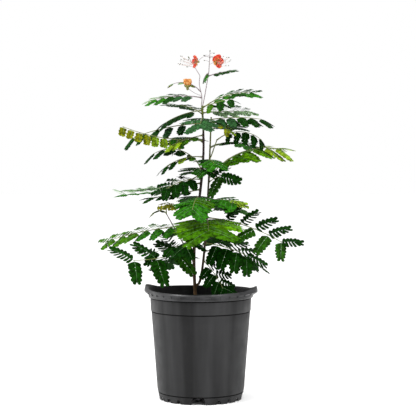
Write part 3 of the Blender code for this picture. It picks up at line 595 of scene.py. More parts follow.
def make_materials():
    made = {name: mottled(name, *values) for name, values in MOTTLED_FINISHES.items()}
    # painted reflection: the wall's upright streaks and the lip's strong mottle are partly the plastic's own
    # and partly the lamps' reflections
    made["pot_plastic"] = pot_plastic("pot_plastic", (14, 14, 15), (46, 46, 47), (1, 1, 0.06), 20, 0.5, 0.2)
    made["pot_lip"] = pot_plastic("pot_lip", (8, 8, 9), (46, 46, 48), (0.6, 0.6, 2.0), 42, 0.34, 0.35)
    made["bark_main"] = bark("bark_main", BARK_MAIN)
    made["bark_second"] = bark("bark_second", BARK_SECOND)
    made["petal_red"] = petal("petal_red", PETAL_RED)
    made["petal_orange"] = petal("petal_orange", PETAL_ORANGE)
    return made


# Making pieces

def add_piece(name, mesh, finish, nodes, smooth):
    """A finished mesh as a piece that rides with the plant and stands for its solids."""
    mesh.materials.append(MATERIALS[finish])
    mesh.polygons.foreach_set("use_smooth", [smooth] * len(mesh.polygons))
    made = bpy.data.objects.new(name, mesh)
    bpy.context.scene.collection.objects.link(made)
    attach(made, "root")
    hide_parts(*nodes)
    return made


def shape_piece(name, shape, finish, nodes, smooth=True):
    mesh = bpy.data.meshes.new(name)
    shape.to_mesh(mesh)
    shape.free()
    made = add_piece(name, mesh, finish, nodes, smooth)
    if smooth:
        mesh.set_sharp_from_angle(angle=SHARP_FROM)
    return made


def triangles_of(shape):
    """A shape as an array of its points and one of its triangles, and the shape is then let go."""
    bmesh.ops.triangulate(shape, faces=shape.faces)
    shape.verts.index_update()
    points = np.array([tuple(vert.co) for vert in shape.verts])
    corners = np.array([[vert.index for vert in face.verts] for face in shape.faces])
    shape.free()
    return points, corners


def repeated(template, places):
    """The template's points and triangles, once for each placing matrix."""
    points, corners = template
    placing = np.array([tuple(tuple(row) for row in place) for place in places])
    spread = np.einsum("mij,nj->mni", placing[:, :3, :3], points) + placing[:, None, :3, 3]
    offsets = np.arange(len(placing))[:, None, None] * len(points)
    return spread.reshape(-1, 3), (corners[None] + offsets).reshape(-1, 3)


def joined(parts):
    points, corners, offset = [], [], 0
    for part_points, part_corners in parts:
        points.append(part_points)
        corners.append(part_corners + offset)
        offset += len(part_points)
    return np.concatenate(points), np.concatenate(corners)


def many_piece(name, parts, finish, nodes, smooth=False):
    """One piece from many small shapes of the same kind."""
    points, corners = joined(parts)
    mesh = bpy.data.meshes.new(name)
    mesh.vertices.add(len(points))
    mesh.vertices.foreach_set("co", points.astype(np.float32).ravel())
    mesh.loops.add(corners.size)
    mesh.loops.foreach_set("vertex_index", corners.astype(np.int32).ravel())
    mesh.polygons.add(len(corners))
    mesh.polygons.foreach_set("loop_start", np.arange(0, corners.size, 3, dtype=np.int32))
    mesh.update(calc_edges=True)
    mesh.validate()
    return add_piece(name, mesh, finish, nodes, smooth)


def thread(line, radius, sides, across=FRONT, foot_axis=None):
    """A thin stalk or filament of one thickness, as points and triangles."""
    return triangles_of(tube(line, [radius] * len(line), sides, across, foot_axis))


def frame_matrix(origin, x_axis, y_axis, z_axis):
    """A matrix that puts a template's X, Y and Z along three directions, scaled by their lengths."""
    if x_axis.cross(y_axis).dot(z_axis) < 0:
        y_axis = -y_axis
    made = Matrix((x_axis, y_axis, z_axis)).transposed().to_4x4()
    made.translation = origin
    return made


def ring(shape, centre, axis, across, radius, sides):
    side = (across - across.dot(axis) * axis).normalized()
    placing = Matrix((side, axis.cross(side), axis)).transposed().to_4x4()
    placing.translation = centre
    made = bmesh.ops.create_circle(shape, segments=sides, radius=radius, matrix=placing)
    return made["verts"]


def edges_of(verts):
    return list({edge for vert in verts for edge in vert.link_edges})


def tube(points, radii, sides, across, foot_axis=None, relief=None):
    """A tapering tube with closed ends; relief gives how far a point of its skin stands out."""
    shape = bmesh.new()
    rings = []
    for index, (point, radius) in enumerate(zip(points, radii)):
        before, after = points[max(index - 1, 0)], points[min(index + 1, len(points) - 1)]
        axis = (after - before).normalized() if index or foot_axis is None else foot_axis
        rings.append(ring(shape, point, axis, across, radius, sides))
    loops = [edges_of(verts) for verts in rings]
    for lower, upper in zip(loops, loops[1:]):
        bmesh.ops.bridge_loops(shape, edges=lower + upper)
    if relief:
        for point, radius, verts in zip(points, radii, rings):
            for vert in verts:
                out = (vert.co - point).normalized()
                vert.co += out * relief(vert.co, out, radius)
    bmesh.ops.holes_fill(shape, edges=shape.edges, sides=sides)
    bmesh.ops.recalc_face_normals(shape, faces=shape.faces)
    return shape


def smooth_line(points, fineness):
    """A rounded line through the points, by the spline that passes through each of them."""
    ends = [2 * points[0] - points[1], *points, 2 * points[-1] - points[-2]]
    made = []
    for index in range(1, len(points)):
        a, b, c, d = ends[index - 1 : index + 3]
        for step in range(fineness):
            t = step / fineness
            bend, turn = a * 2 - b * 5 + c * 4 - d, b * 3 - a - c * 3 + d
            made.append((b * 2 + (c - a) * t + bend * t**2 + turn * t**3) / 2)
    return [*made, points[-1]]


def along_line(points, share):
    """The point at a share of the line, and which way the line runs there."""
    place = min(share, 0.9999) * (len(points) - 1)
    index = int(place)
    before, after = points[index : index + 2]
    return before.lerp(after, place - index), (after - before).normalized()


def bowed_line(start, end, rise, steps):
    points = []
    for step in range(steps + 1):
        share = step / steps
        points.append(start.lerp(end, share) + UP * (rise * math.sin(math.pi * share)))
    return points


def solid_points(node):
    """The points of a CAD solid, to look up which is nearest to a place."""
    verts = frame["nodes"][node].data.vertices
    tree = KDTree(len(verts))
    for index, vert in enumerate(verts):
        tree.insert(vert.co, index)
    tree.balance()
    return tree


# Pot

def arc(centre, radius, first, last, steps):
    """Points of an arc in the profile's plane, by angles in degrees."""
    angles = [math.radians(first + (last - first) * step / steps) for step in range(steps + 1)]
    return [(centre[0] + radius * math.cos(a), centre[1] + radius * math.sin(a)) for a in angles]


def cove(radius, height, next_radius):
    """A groove whose roof is the next band of the wall, which stands out over it."""
    return [
        (radius - COVE_DEPTH, height - COVE_BACK),
        (radius - COVE_DEPTH, height),
        (next_radius - BAND_CHAMFER[0], height),
        (next_radius, height + BAND_CHAMFER[1]),
    ]


def pot_profile():
    """Outer side from the foot up, over the lip, and down the inner side to the base, as (radius, height)."""
    lip_foot = POT_HEIGHT - LIP_HEIGHT
    foot = [(FOOT_RADIUS, 0), (FOOT_BAND_RADIUS, FOOT_BAND_HEIGHT - COVE_HEIGHT)]
    foot += cove(FOOT_BAND_RADIUS, FOOT_BAND_HEIGHT, FOOT_BAND_RADIUS + FOOT_BAND_STEP)
    body_rise = COLLAR_HEIGHT - COVE_HEIGHT - BODY_FOOT_HEIGHT
    widening = BODY_TOP_RADIUS - BODY_FOOT_RADIUS
    shares = [step / BODY_STEPS for step in range(BODY_STEPS + 1)]
    body = [(BODY_FOOT_RADIUS + widening * share, BODY_FOOT_HEIGHT + body_rise * share) for share in shares]
    collar = cove(BODY_TOP_RADIUS, COLLAR_HEIGHT, BODY_TOP_RADIUS + COLLAR_STEP)
    collar += [
        (COLLAR_TOP_RADIUS - COLLAR_BOW, (COLLAR_HEIGHT + lip_foot) / 2),
        (COLLAR_TOP_RADIUS, lip_foot - COVE_HEIGHT),
        (COLLAR_TOP_RADIUS - COVE_DEPTH, lip_foot + LIP_OVERHANG),
    ]
    lip = arc((LIP_RADIUS - LIP_BEAD, lip_foot + LIP_BEAD), LIP_BEAD, -90, 0, 3)
    crown = arc((LIP_RADIUS - LIP_ROUNDING, -LIP_ROUNDING), LIP_ROUNDING, 0, 90, LIP_CROWN_STEPS)
    lip += [(radius, POT_HEIGHT + below * (LIP_CROWN / LIP_ROUNDING)) for radius, below in crown]
    inner = [
        (COLLAR_TOP_RADIUS + LIP_INNER_EDGE[0], POT_HEIGHT),
        (COLLAR_TOP_RADIUS, POT_HEIGHT - LIP_INNER_EDGE[1]),
        (COLLAR_TOP_RADIUS, POT_HEIGHT - LIP_ROUNDING),
        (COLLAR_TOP_RADIUS, lip_foot),
        (BODY_TOP_RADIUS, COLLAR_HEIGHT),
        (BODY_FOOT_RADIUS, BODY_FOOT_HEIGHT),
        (FOOT_BAND_RADIUS, BASE_LIFT + BASE_THICKNESS),
    ]
    inner = [(radius - POT_WALL, height) for radius, height in inner]
    base = [(0, BASE_LIFT + BASE_THICKNESS), (0, BASE_LIFT)]
    under = [(FOOT_BAND_RADIUS - POT_WALL, BASE_LIFT), (FOOT_RADIUS - POT_WALL, 0)]
    return foot + body + collar + lip + inner + base + under


def turned(profile, segments):
    """A profile spun round the upright axis, on which its own ends or middle lie."""
    shape = bmesh.new()
    points = [shape.verts.new((radius, 0, height)) for radius, height in profile]
    edges = [shape.edges.new((a, b)) for a, b in zip(points, points[1:] + points[:1]) if a.co.x + b.co.x > 0]
    bmesh.ops.spin(shape, geom=edges, cent=(0, 0, 0), axis=UP, angle=math.tau, steps=segments, use_merge=True)
    bmesh.ops.remove_doubles(shape, verts=shape.verts, dist=HAIR)
    bmesh.ops.recalc_face_normals(shape, faces=shape.faces)
    return shape


def raise_ears(shape):
    """Draws the lip's edge up and out at the left and the right, where the pot is lifted by it."""
    lip_foot = POT_HEIGHT - LIP_HEIGHT
    for vert in shape.verts:
        radius = vert.co.xy.length
        rise = min((vert.co.z - lip_foot) / LIP_HEIGHT, 1)
        if rise < 0.01 or radius < COLLAR_TOP_RADIUS - POT_WALL - HAIR:
            continue
        turned_by = math.atan2(vert.co.y, vert.co.x) - EAR_TURN
        from_side = math.atan2(abs(math.sin(turned_by)), abs(math.cos(turned_by)))
        peak = (1 + math.cos(math.pi * min(from_side / EAR_HALF_ANGLE, 1))) / 2
        above = max(rise - EAR_ROOT[0], 0)
        set_in = min(above / (EAR_ROOT[1] - EAR_ROOT[0]), 1)
        lift = (EAR_SWELL * math.cos(from_side) + (1 - EAR_SWELL) * peak) * set_in**2 * (3 - 2 * set_in)
        if radius < COLLAR_TOP_RADIUS - HAIR:
            lift *= EAR_INNER_SHARE
        outward = vert.co.xy.normalized() * (EAR_REACH * lift)
        vert.co += Vector((outward.x, outward.y, EAR_RISE * lift * above / (1 - EAR_ROOT[0])))


def notch_outline(width, height, sag):
    """A notch's outline: sides that lean in, round corners, and a tab that hangs in the middle."""
    points = [(-NOTCH_SKIRT * width, -height)]
    for step in range(NOTCH_STEPS + 1):
        share = 2 * step / NOTCH_STEPS - 1
        top = (1 - abs(share) ** 6) ** (1 / 4)
        tab = sag * math.exp(-((share / NOTCH_TAB_SHARE) ** 2))
        points.append((share * width / 2 * (1 + NOTCH_LEAN - NOTCH_LEAN * top), height * top - tab))
    points.append((NOTCH_SKIRT * width, -height))
    return points


def turn_shape(shape, turn):
    bmesh.ops.rotate(shape, cent=(0, 0, 0), matrix=Matrix.Rotation(turn, 3, "Z"), verts=shape.verts)


def notch(turn, size):
    """A cutter that runs out through the foot ring."""
    cutter = bmesh.new()
    inside = FOOT_RADIUS - 2 * EAR_REACH
    face = cutter.faces.new([cutter.verts.new((inside, y, z)) for y, z in notch_outline(*size)])
    side = bmesh.ops.extrude_face_region(cutter, geom=[face])
    moved = [part for part in side["geom"] if isinstance(part, bmesh.types.BMVert)]
    bmesh.ops.translate(cutter, vec=(4 * EAR_REACH, 0, 0), verts=moved)
    bmesh.ops.recalc_face_normals(cutter, faces=cutter.faces)
    turn_shape(cutter, turn)
    return cutter


def cut_with(target, cutters):
    """Cuts all the shapes out of the object, and applies the cut."""
    group = bpy.data.collections.new("cutters")
    bpy.context.scene.collection.children.link(group)
    for cutter in cutters:
        mesh = bpy.data.meshes.new("cutter")
        cutter.to_mesh(mesh)
        cutter.free()
        group.objects.link(bpy.data.objects.new("cutter", mesh))
    cut = target.modifiers.new("notches", "BOOLEAN")
    cut.operation = "DIFFERENCE"
    cut.operand_type = "COLLECTION"
    cut.collection = group
    graph = bpy.context.evaluated_depsgraph_get()
    mesh = bpy.data.meshes.new_from_object(target.evaluated_get(graph))
    target.modifiers.clear()
    target.data = mesh
    for helper in list(group.objects):
        bpy.data.objects.remove(helper)
    bpy.data.collections.remove(group)


def lip_rib(turn):
    """One upright rib on the lip's outer face."""
    width, proud = LIP_RIB
    shape = bmesh.new()
    bmesh.ops.create_cube(shape, size=1)
    height = LIP_HEIGHT - 2 * LIP_ROUNDING
    bmesh.ops.scale(shape, vec=(2 * proud, width, height), verts=shape.verts)
    bmesh.ops.bevel(
        shape, geom=shape.edges, offset=LIP_RIB_ROUNDING * width, offset_type="OFFSET", affect="EDGES",
        segments=2, profile=0.5, material=-1,
    )
    middle = POT_HEIGHT - LIP_ROUNDING - height / 2
    bmesh.ops.translate(shape, vec=(LIP_RADIUS - LIP_RIB_SEAT * proud, 0, middle), verts=shape.verts)
    turn_shape(shape, turn)
    raise_ears(shape)
    return shape


def mark_finishes(shape):
    """Gives the insides of the coves the second finish, near black as painted shade, and the glossier lip the
    third, whose mottle is partly painted reflection.
    """
    lip_foot = POT_HEIGHT - LIP_HEIGHT
    coves = (
        (lip_foot, COLLAR_TOP_RADIUS),
        (COLLAR_HEIGHT, BODY_TOP_RADIUS),
        (FOOT_BAND_HEIGHT, FOOT_BAND_RADIUS),
    )
    for face in shape.faces:
        middle = face.calc_center_median()
        for height, radius in coves:
            # painted shade: the faces deep in each cove take the near-black finish
            deep = radius - COVE_DEPTH - 0.1 * MM < middle.xy.length < radius - 0.1 * COVE_DEPTH
            if deep and height - COVE_HEIGHT < middle.z < height + 0.9 * MM:
                face.material_index = 1
        # the lip takes the glossier third finish, whose mottle is partly painted reflection
        if middle.z > lip_foot + 0.2 * MM and middle.xy.length > COLLAR_TOP_RADIUS - 0.5 * MM:
            face.material_index = 2


def make_pot():
    shape = turned(pot_profile(), POT_SEGMENTS)
    mark_finishes(shape)
    raise_ears(shape)
    pot = shape_piece("pot_shell", shape, "pot_plastic", ["pot"])
    pot.data.materials.append(MATERIALS["pot_groove"])
    pot.data.materials.append(MATERIALS["pot_lip"])
    cutters = []
    for quarter in range(DRAIN_NOTCHES):
        turn = NOTCH_TURN + quarter * math.tau / DRAIN_NOTCHES
        cutters.append(notch(turn, DRAIN_NOTCH))
        cutters += [notch(turn + small, SMALL_NOTCH) for small in SMALL_NOTCH_TURNS]
    cut_with(pot, cutters)
    pot.data.set_sharp_from_angle(angle=SHARP_FROM)
    ribs = [triangles_of(lip_rib(LIP_RIB_TURN + turn * math.tau / LIP_RIBS)) for turn in range(LIP_RIBS)]
    many_piece("pot_lip_ribs", ribs, "pot_lip", ["pot"], True)


# Soil

def inner_radius(height):
    heights = (BASE_LIFT, BODY_FOOT_HEIGHT, COLLAR_HEIGHT, POT_HEIGHT - LIP_HEIGHT)
    radii = (FOOT_BAND_RADIUS, BODY_FOOT_RADIUS, BODY_TOP_RADIUS, COLLAR_TOP_RADIUS)
    return float(np.interp(height, heights, radii)) - POT_WALL


def soil_height(x, y):
    """The lumpy top of the potting mix, lower at the wall."""
    share = min(math.hypot(x, y) / inner_radius(SOIL_LEVEL), 1)
    lumps = noise.noise(Vector((x, y, 0)) * SOIL_LUMPS[0]) * SOIL_LUMPS[1]
    crumbs = noise.noise(Vector((x, y, 3)) * SOIL_CRUMBS[0]) * SOIL_CRUMBS[1]
    return SOIL_LEVEL - SOIL_EDGE_DROP * share**4 + (lumps + crumbs - SOIL_SINK) * MM


def make_soil():
    edge = SOIL_LEVEL - SOIL_EDGE_DROP
    floor = BASE_LIFT + BASE_THICKNESS + CLEARANCE
    heights = (floor, BODY_FOOT_HEIGHT, COLLAR_HEIGHT, edge)
    sides = [(0, floor)] + [(inner_radius(height) - SOIL_GAP, height) for height in heights]
    top = [(sides[-1][0] * (1 - step / SOIL_RINGS), SOIL_LEVEL) for step in range(1, SOIL_RINGS + 1)]
    shape = turned(sides + top, SOIL_SEGMENTS)
    for vert in shape.verts:
        if vert.co.z > edge + HAIR:
            vert.co.z = soil_height(vert.co.x, vert.co.y)
    shape_piece("potting_mix", shape, "soil", ["soil"])


def make_chips():
    """Bark chips that lie on the potting mix, clear of the stem and the wall."""
    chip = bmesh.new()
    bmesh.ops.create_icosphere(chip, subdivisions=1, radius=0.5)
    for vert in chip.verts:
        vert.co *= 1 + CHIP_ROUGHNESS * noise.noise(vert.co * 3)
    template = triangles_of(chip)
    rng = random.Random(SEED)
    reach = inner_radius(SOIL_LEVEL - SOIL_EDGE_DROP)
    stem = LIMBS[0].foot[0] * MM
    places = []
    while len(places) < CHIPS:
        x, y = (rng.uniform(-1, 1) * (reach - CHIP_SQUARE_MARGIN) for _ in range(2))
        if math.hypot(x, y) > reach - CHIP_MARGIN or math.hypot(x - stem, y) < STEM_CLEARING:
            continue
        size = Vector([rng.uniform(*limits) for limits in CHIP_SIZES]) * MM
        turn = Matrix.Rotation(rng.uniform(0, math.tau), 4, "Z")
        turn = turn @ Matrix.Rotation(rng.gauss(0, CHIP_TILT), 4, "X")
        place = Matrix.Translation((x, y, soil_height(x, y) + CHIP_SEAT * size.z))
        places.append(place @ turn @ Matrix.Diagonal((*size, 1)))
    many_piece("bark_chips", [repeated(template, places)], "bark_chips", ["soil"])


# Limbs, whose centre lines are the solids' own

def limb_named(name):
    return next(limb for limb in LIMBS if limb.name == name)


def limb_point(limb, share):
    foot, top = limb_foot(limb)[0] / MM, Vector(limb.top)
    out = share**limb.bend
    point = foot.lerp(top, share)
    point.x = foot.x + (top.x - foot.x) * out + limb.sway * math.sin(math.tau * share)
    point.y = foot.y + (top.y - foot.y) * out
    return point * MM


def limb_axis(limb, share):
    low, high = max(share - AXIS_REACH, 0), min(share + AXIS_REACH, 1)
    return (limb_point(limb, high) - limb_point(limb, low)).normalized()


def limb_radius(limb, share):
    radius = (limb.foot_radius + (limb.tip_radius - limb.foot_radius) * share) * MM
    if limb.parent is None:
        rise = (limb_point(limb, share).z - limb.foot[2] * MM) / FLARE_HEIGHT
        radius *= 1 + (FLARE - 1) * math.exp(-FLARE_FALL * rise)
    return radius


def limb_foot(limb):
    if limb.parent is None:
        return Vector(limb.foot) * MM + UP * CLEARANCE, UP
    parent = limb_named(limb.parent)
    share = limb_share(parent, limb.foot[2])
    if share == 1:
        axis = limb_axis(parent, 1)
        return Vector(limb.foot) * MM + axis * CLEARANCE, axis
    side = Vector(limb.foot) * MM - limb_point(parent, share)
    return beside_limb(parent, share, side)


def beside_limb(limb, share, direction):
    axis = limb_axis(limb, share)
    out = (direction - direction.dot(axis) * axis).normalized()
    return limb_point(limb, share) + out * (limb_radius(limb, share) + CLEARANCE), out


def limb_share(limb, height):
    low, high = limb.foot[2], limb.top[2]
    return min(max((height - low) / (high - low), 0), 1)


def level_direction(heading):
    return Vector((math.cos(math.radians(heading)), math.sin(math.radians(heading)), 0))


def bark_relief(feet):
    """How far the skin stands out: fissures, small pores, and a swelling under each frond's foot."""
    fineness, stretch, grain_height = BARK_GRAIN
    pore_fineness, width, rareness, pore_height = BARK_PORES

    def relief(point, out, radius):
        grain = noise.noise(Vector((point.x, point.y, point.z * stretch)) * fineness)
        place = Vector((point.x * width, point.y * width, point.z)) * pore_fineness
        pores = max(noise.noise(place + UP * 5) - rareness, 0)
        rise = radius * (grain_height * grain + pore_height * pores)
        for height, direction in feet:
            near = math.exp(-(((point.z - height * MM) / NODE_REACH) ** 2))
            rise += radius * NODE_SWELL * near * max(out.dot(direction), 0) ** 2
        return rise

    return relief


def feet_on(limb, headings):
    """Where fronds and other limbs leave a limb, as heights in millimetres and outward directions."""
    fronds = [frond for frond in FRONDS if frond.limb == limb.name]
    feet = [(frond.height, level_direction(headings[frond.name])) for frond in fronds]
    for other in LIMBS:
        if other.parent == limb.name and limb_share(limb, other.foot[2]) < 1:
            middle = limb_point(limb, limb_share(limb, other.foot[2]))
            feet.append((other.foot[2], (Vector(other.foot) * MM - middle).normalized()))
    return feet


def make_limbs(headings):
    for limb in LIMBS:
        barked = limb.finish.startswith("bark")
        steps = round((limb.top[2] - limb.foot[2]) * MM / BARK_STEP)
        shares = [step / steps for step in range(steps + 1)]
        points = [limb_point(limb, share) for share in shares]
        radii = [limb_radius(limb, share) for share in shares]
        relief = bark_relief(feet_on(limb, headings))
        sides = BARK_SIDES if barked else STALK_SIDES
        shape = tube(points, radii, sides, Vector((1, 0, 0)), limb_foot(limb)[1], relief)
        shape_piece(f"{limb.name}_bark", shape, limb.finish, [limb.name])


# Fronds

def frond_start(frond, heading):
    limb = limb_named(frond.limb)
    share = limb_share(limb, frond.height)
    if share == 1:
        axis = limb_axis(limb, 1)
        return limb_point(limb, 1) + axis * CLEARANCE, axis
    return beside_limb(limb, share, level_direction(heading))


def rib_line(frond, heading):
    start, foot_axis = frond_start(frond, heading)
    out = level_direction(heading)
    points = [start]
    step = frond.length * MM / RIB_STEPS
    for index in range(RIB_STEPS):
        slope = math.radians(frond.rise - frond.droop * (index + 0.5) / RIB_STEPS)
        points.append(points[-1] + (out * math.cos(slope) + UP * math.sin(slope)) * step)
    return points, foot_axis


def rib_heading(frond, solid):
    """The heading that the solid's own rib took, told by where its tip is."""
    headings = [frond.heading + escape for escape in RIB_ESCAPES]
    return min(headings, key=lambda heading: solid.find(rib_line(frond, heading)[0][-1])[2])


def rounded_share(least, start, share):
    """A size that swells to the whole in a row of sizes, and shrinks again."""
    return least + (1 - least) * math.sin(math.pi * (start + SWELL_OVER * share))


def bow(length, share):
    """How far a midrib stands over the straight line between its ends."""
    return MIDRIB_BOW * length * math.sin(math.pi * share)


def pinna_frame(frond, points, progress, hand, rng):
    """One pinna's root, direction, upper face, hang and length, and whether it is on the near side."""
    stand = PETIOLE_SHARE + (LAST_PINNA_SHARE - PETIOLE_SHARE) * progress
    centre, tangent = along_line(points, stand)
    flat = tangent.cross(UP).normalized()
    normal = flat.cross(tangent)
    turn = math.radians(frond.tilt) * (1 if flat.dot(FRONT) >= 0 else -1)
    side = flat * math.cos(turn) - normal * math.sin(turn)
    near = hand * flat.dot(FRONT) > 0
    first, last = frond.angles if near or frond.far_angles is None else frond.far_angles
    spread = first + (last - first) * progress
    size = frond.pinna * MM * rounded_share(PINNA_SIZE_LEAST, PINNA_SWELL_FROM, progress)
    angle = math.radians(spread + rng.uniform(-JITTER, JITTER))
    along = tangent * math.cos(angle) + side * (hand * math.sin(angle))
    first, last = (frond.hang, frond.hang) if near or frond.far_hangs is None else frond.far_hangs
    hang = first + (last - first) * progress + rng.uniform(-JITTER, JITTER)
    root = centre + tangent * (hand * PAIR_STAGGER / 2) - along * PINNA_SEAT
    return root, along, side.cross(tangent), hang, size * rng.uniform(*PINNA_SIZES), near


def lowered(along, face, hang):
    angle = math.radians(hang)
    own = (along * math.cos(angle) - UP * math.sin(angle)).normalized()
    return own, face.cross(own).normalized()


def found_hang(root, along, face, hang, length, solid):
    """The hang that the solid's own pinna took, or None where the solid has none."""
    for escape in PINNA_ESCAPES:
        own, _ = lowered(along, face, hang + escape)
        if solid.find(root + own * length)[2] < SAME_PLACE:
            return hang + escape
    return None


def leaflet_template():
    """A leaflet one unit long and one wide, folded a little along its middle."""
    shape = bmesh.new()
    bmesh.ops.create_uvsphere(shape, u_segments=10, v_segments=2, radius=1)
    for vert in shape.verts:
        x, y, z = vert.co
        if abs(z) > 0.5:
            vert.co = Vector((0.5, 0, math.copysign(LEAFLET_THICKNESS / 2, z)))
            continue
        along = math.copysign(abs(x) ** LEAFLET_ROUNDING[0], x)
        breadth = math.copysign(abs(y) ** LEAFLET_ROUNDING[1], y) * (1 + LEAFLET_TIP_SWELL * along) / 2
        vert.co = Vector(((1 + along) / 2, breadth, -abs(breadth) * LEAFLET_CREASE))
    bmesh.ops.recalc_face_normals(shape, faces=shape.faces)
    return triangles_of(shape)


def leaflets(root, own, across, face, length, twist, rng):
    """Places for a pinna's leaflets: pairs that shorten towards the tip, which a last pair closes."""
    half = min(length * PINNA_WIDTH_SHARE, PINNA_WIDEST) / 2
    longest = half / math.sin(math.radians(LEAFLET_WIDEST_ANGLE))
    spacing = LEAFLET_SPACING[0] + LEAFLET_SPACING[1] * length
    pairs = max(3, round((length - LEAFLET_FREE_TIP * longest) / spacing))
    spacing = (length - LEAFLET_TIP_SHARE * longest) / pairs
    fold_drift, angle_drift, twist_drift = LEAFLET_DRIFTS
    fold = math.radians(LEAFLET_FOLD + rng.uniform(-fold_drift, fold_drift))
    places = []
    for pair in range(pairs):
        share = (pair + FIRST_LEAFLET) / pairs
        angle = LEAFLET_ANGLES[0] + (LEAFLET_ANGLES[1] - LEAFLET_ANGLES[0]) * share**2
        size = longest * rounded_share(LEAFLET_SIZE_LEAST, LEAFLET_SWELL_FROM, share)
        foot = root + own * (spacing * (pair + FIRST_LEAFLET)) + face * bow(length, share)
        for hand in (1, -1):
            turn = math.radians(angle + rng.uniform(-angle_drift, angle_drift))
            side = (across * math.cos(fold) * hand - face * math.sin(fold)).normalized()
            out = own * math.cos(turn) + side * math.sin(turn)
            up = side.cross(own) * -hand
            distal = own * math.sin(turn) - side * math.cos(turn)
            roll = math.radians(twist + rng.uniform(-twist_drift, twist_drift))
            edge = distal * math.cos(roll) - up * math.sin(roll)
            normal = up * math.cos(roll) + distal * math.sin(roll)
            width = spacing * LEAFLET_OVERLAP * rng.uniform(*LEAFLET_WIDTHS)
            reach = size * rng.uniform(*LEAFLET_LENGTHS)
            seat = foot - out * (LEAFLET_SEAT * reach)
            places.append(frame_matrix(seat, out * reach, edge * width, normal * width))
    return places


def tone_at(tones, progress):
    """The tone of a pinna, of those that are named from the stem outwards."""
    steps = tones.split()
    return steps[min(int(progress * len(steps)), len(steps) - 1)]


def midrib_shape(root, own, across, face, length):
    points, radii = [], []
    for step in range(MIDRIB_STEPS + 1):
        share = step / MIDRIB_STEPS
        points.append(root + own * (length * MIDRIB_LENGTH_SHARE * share) + face * bow(length, share))
        radii.append(MIDRIB_RADIUS * (1 - (1 - MIDRIB_TIP_SHARE) * share))
    return triangles_of(tube(points, radii, MIDRIB_SIDES, across))


def rib_shape(frond, points, foot_axis):
    """The rib, rounded, tapering and swollen at its foot."""
    line = smooth_line(points, RIB_FINENESS)
    radius = RIB_RADIUS * min(1, RIB_LEAST_SHARE + frond.length / RIB_THICKENING)
    radii = []
    for index in range(len(line)):
        share = index / (len(line) - 1)
        swell = 1 + (PULVINUS - 1) * math.exp(-((share * frond.length / PULVINUS_LENGTH) ** 2))
        radii.append(radius * (1 + (RIB_TIP_SHARE - 1) * share) * swell)
    level = Vector((points[-1].x - points[0].x, points[-1].y - points[0].y, 0))
    return triangles_of(tube(line, radii, RIB_SIDES, level.cross(UP), foot_axis))


def pinna_stands(frond):
    """How far along the rib each pinna stands, whether the solid has it too, and on which hand it is."""
    gaps = frond.pairs - 1
    stands = [(pair / gaps, True) for pair in range(frond.pairs)]
    if frond.extra:
        stands += [((pair + 0.5) / gaps, False) for pair in range(gaps)]
    return [(progress, solid_has, hand) for progress, solid_has in stands for hand in (1, -1)]


def make_fronds():
    """Ribs where the solids have them, and on each the pinnae that the solids have, with their leaflets."""
    source, looks = random.Random(SEED), random.Random(SEED + 1)
    sprays, midribs, ribs, headings = {}, {}, {}, {}
    for frond in FRONDS:
        solid = solid_points(frond.name)
        headings[frond.name] = rib_heading(frond, solid)
        points, foot_axis = rib_line(frond, headings[frond.name])
        rib_finish = "stalk_grey" if frond.height > GREY_RIBS_FROM else "stalk_olive"
        ribs.setdefault(rib_finish, []).append((frond.name, rib_shape(frond, points, foot_axis)))
        for progress, solid_has, hand in pinna_stands(frond):
            rng = source if solid_has else looks
            root, along, face, hang, length, near = pinna_frame(frond, points, progress, hand, rng)
            if solid_has:
                hang = found_hang(root, along, face, hang, length, solid)
                if hang is None:
                    continue
            own, across = lowered(along, face, hang)
            upper = own.cross(across) * (1 if own.cross(across).dot(face) > 0 else -1)
            tone = tone_at(frond.near if near else frond.far, progress)
            twist = frond.twist if near or frond.far_twist is None else frond.far_twist
            spray = leaflets(root, own, across, upper, length, twist, looks)
            sprays.setdefault(tone, []).append((frond.name, spray))
            # the darker tones, which are partly painted shade, also get dark midribs above that height
            dark = tone in ("dark", "deep", "blue") and frond.height > DARK_MIDRIBS_FROM
            midrib = midrib_shape(root, own, across, upper, length)
            midribs.setdefault("midrib_dark" if dark else "midrib_pale", []).append((frond.name, midrib))
    template = leaflet_template()
    for tone, found in sprays.items():
        places = [place for _, spray in found for place in spray]
        nodes = sorted({name for name, _ in found})
        many_piece(f"leaflets_{tone}", [repeated(template, places)], f"leaf_{tone}", nodes)
    for title, groups in (("frond_ribs", ribs), ("pinna_midribs", midribs)):
        for finish, found in groups.items():
            nodes = sorted({name for name, _ in found})
            many_piece(f"{title}_{finish}", [part for _, part in found], finish, nodes, True)
    return headings


# Flowers

def bud_shape(centre, axis, length, share):
    shape = bmesh.new()
    bmesh.ops.create_uvsphere(shape, u_segments=8, v_segments=6, radius=0.5)
    across = axis.orthogonal().normalized()
    width = length * share
    place = frame_matrix(centre, across * width, axis.cross(across) * width, axis * length)
    bmesh.ops.transform(shape, matrix=place, verts=shape.verts)
    bmesh.ops.recalc_face_normals(shape, faces=shape.faces)
    return triangles_of(shape)


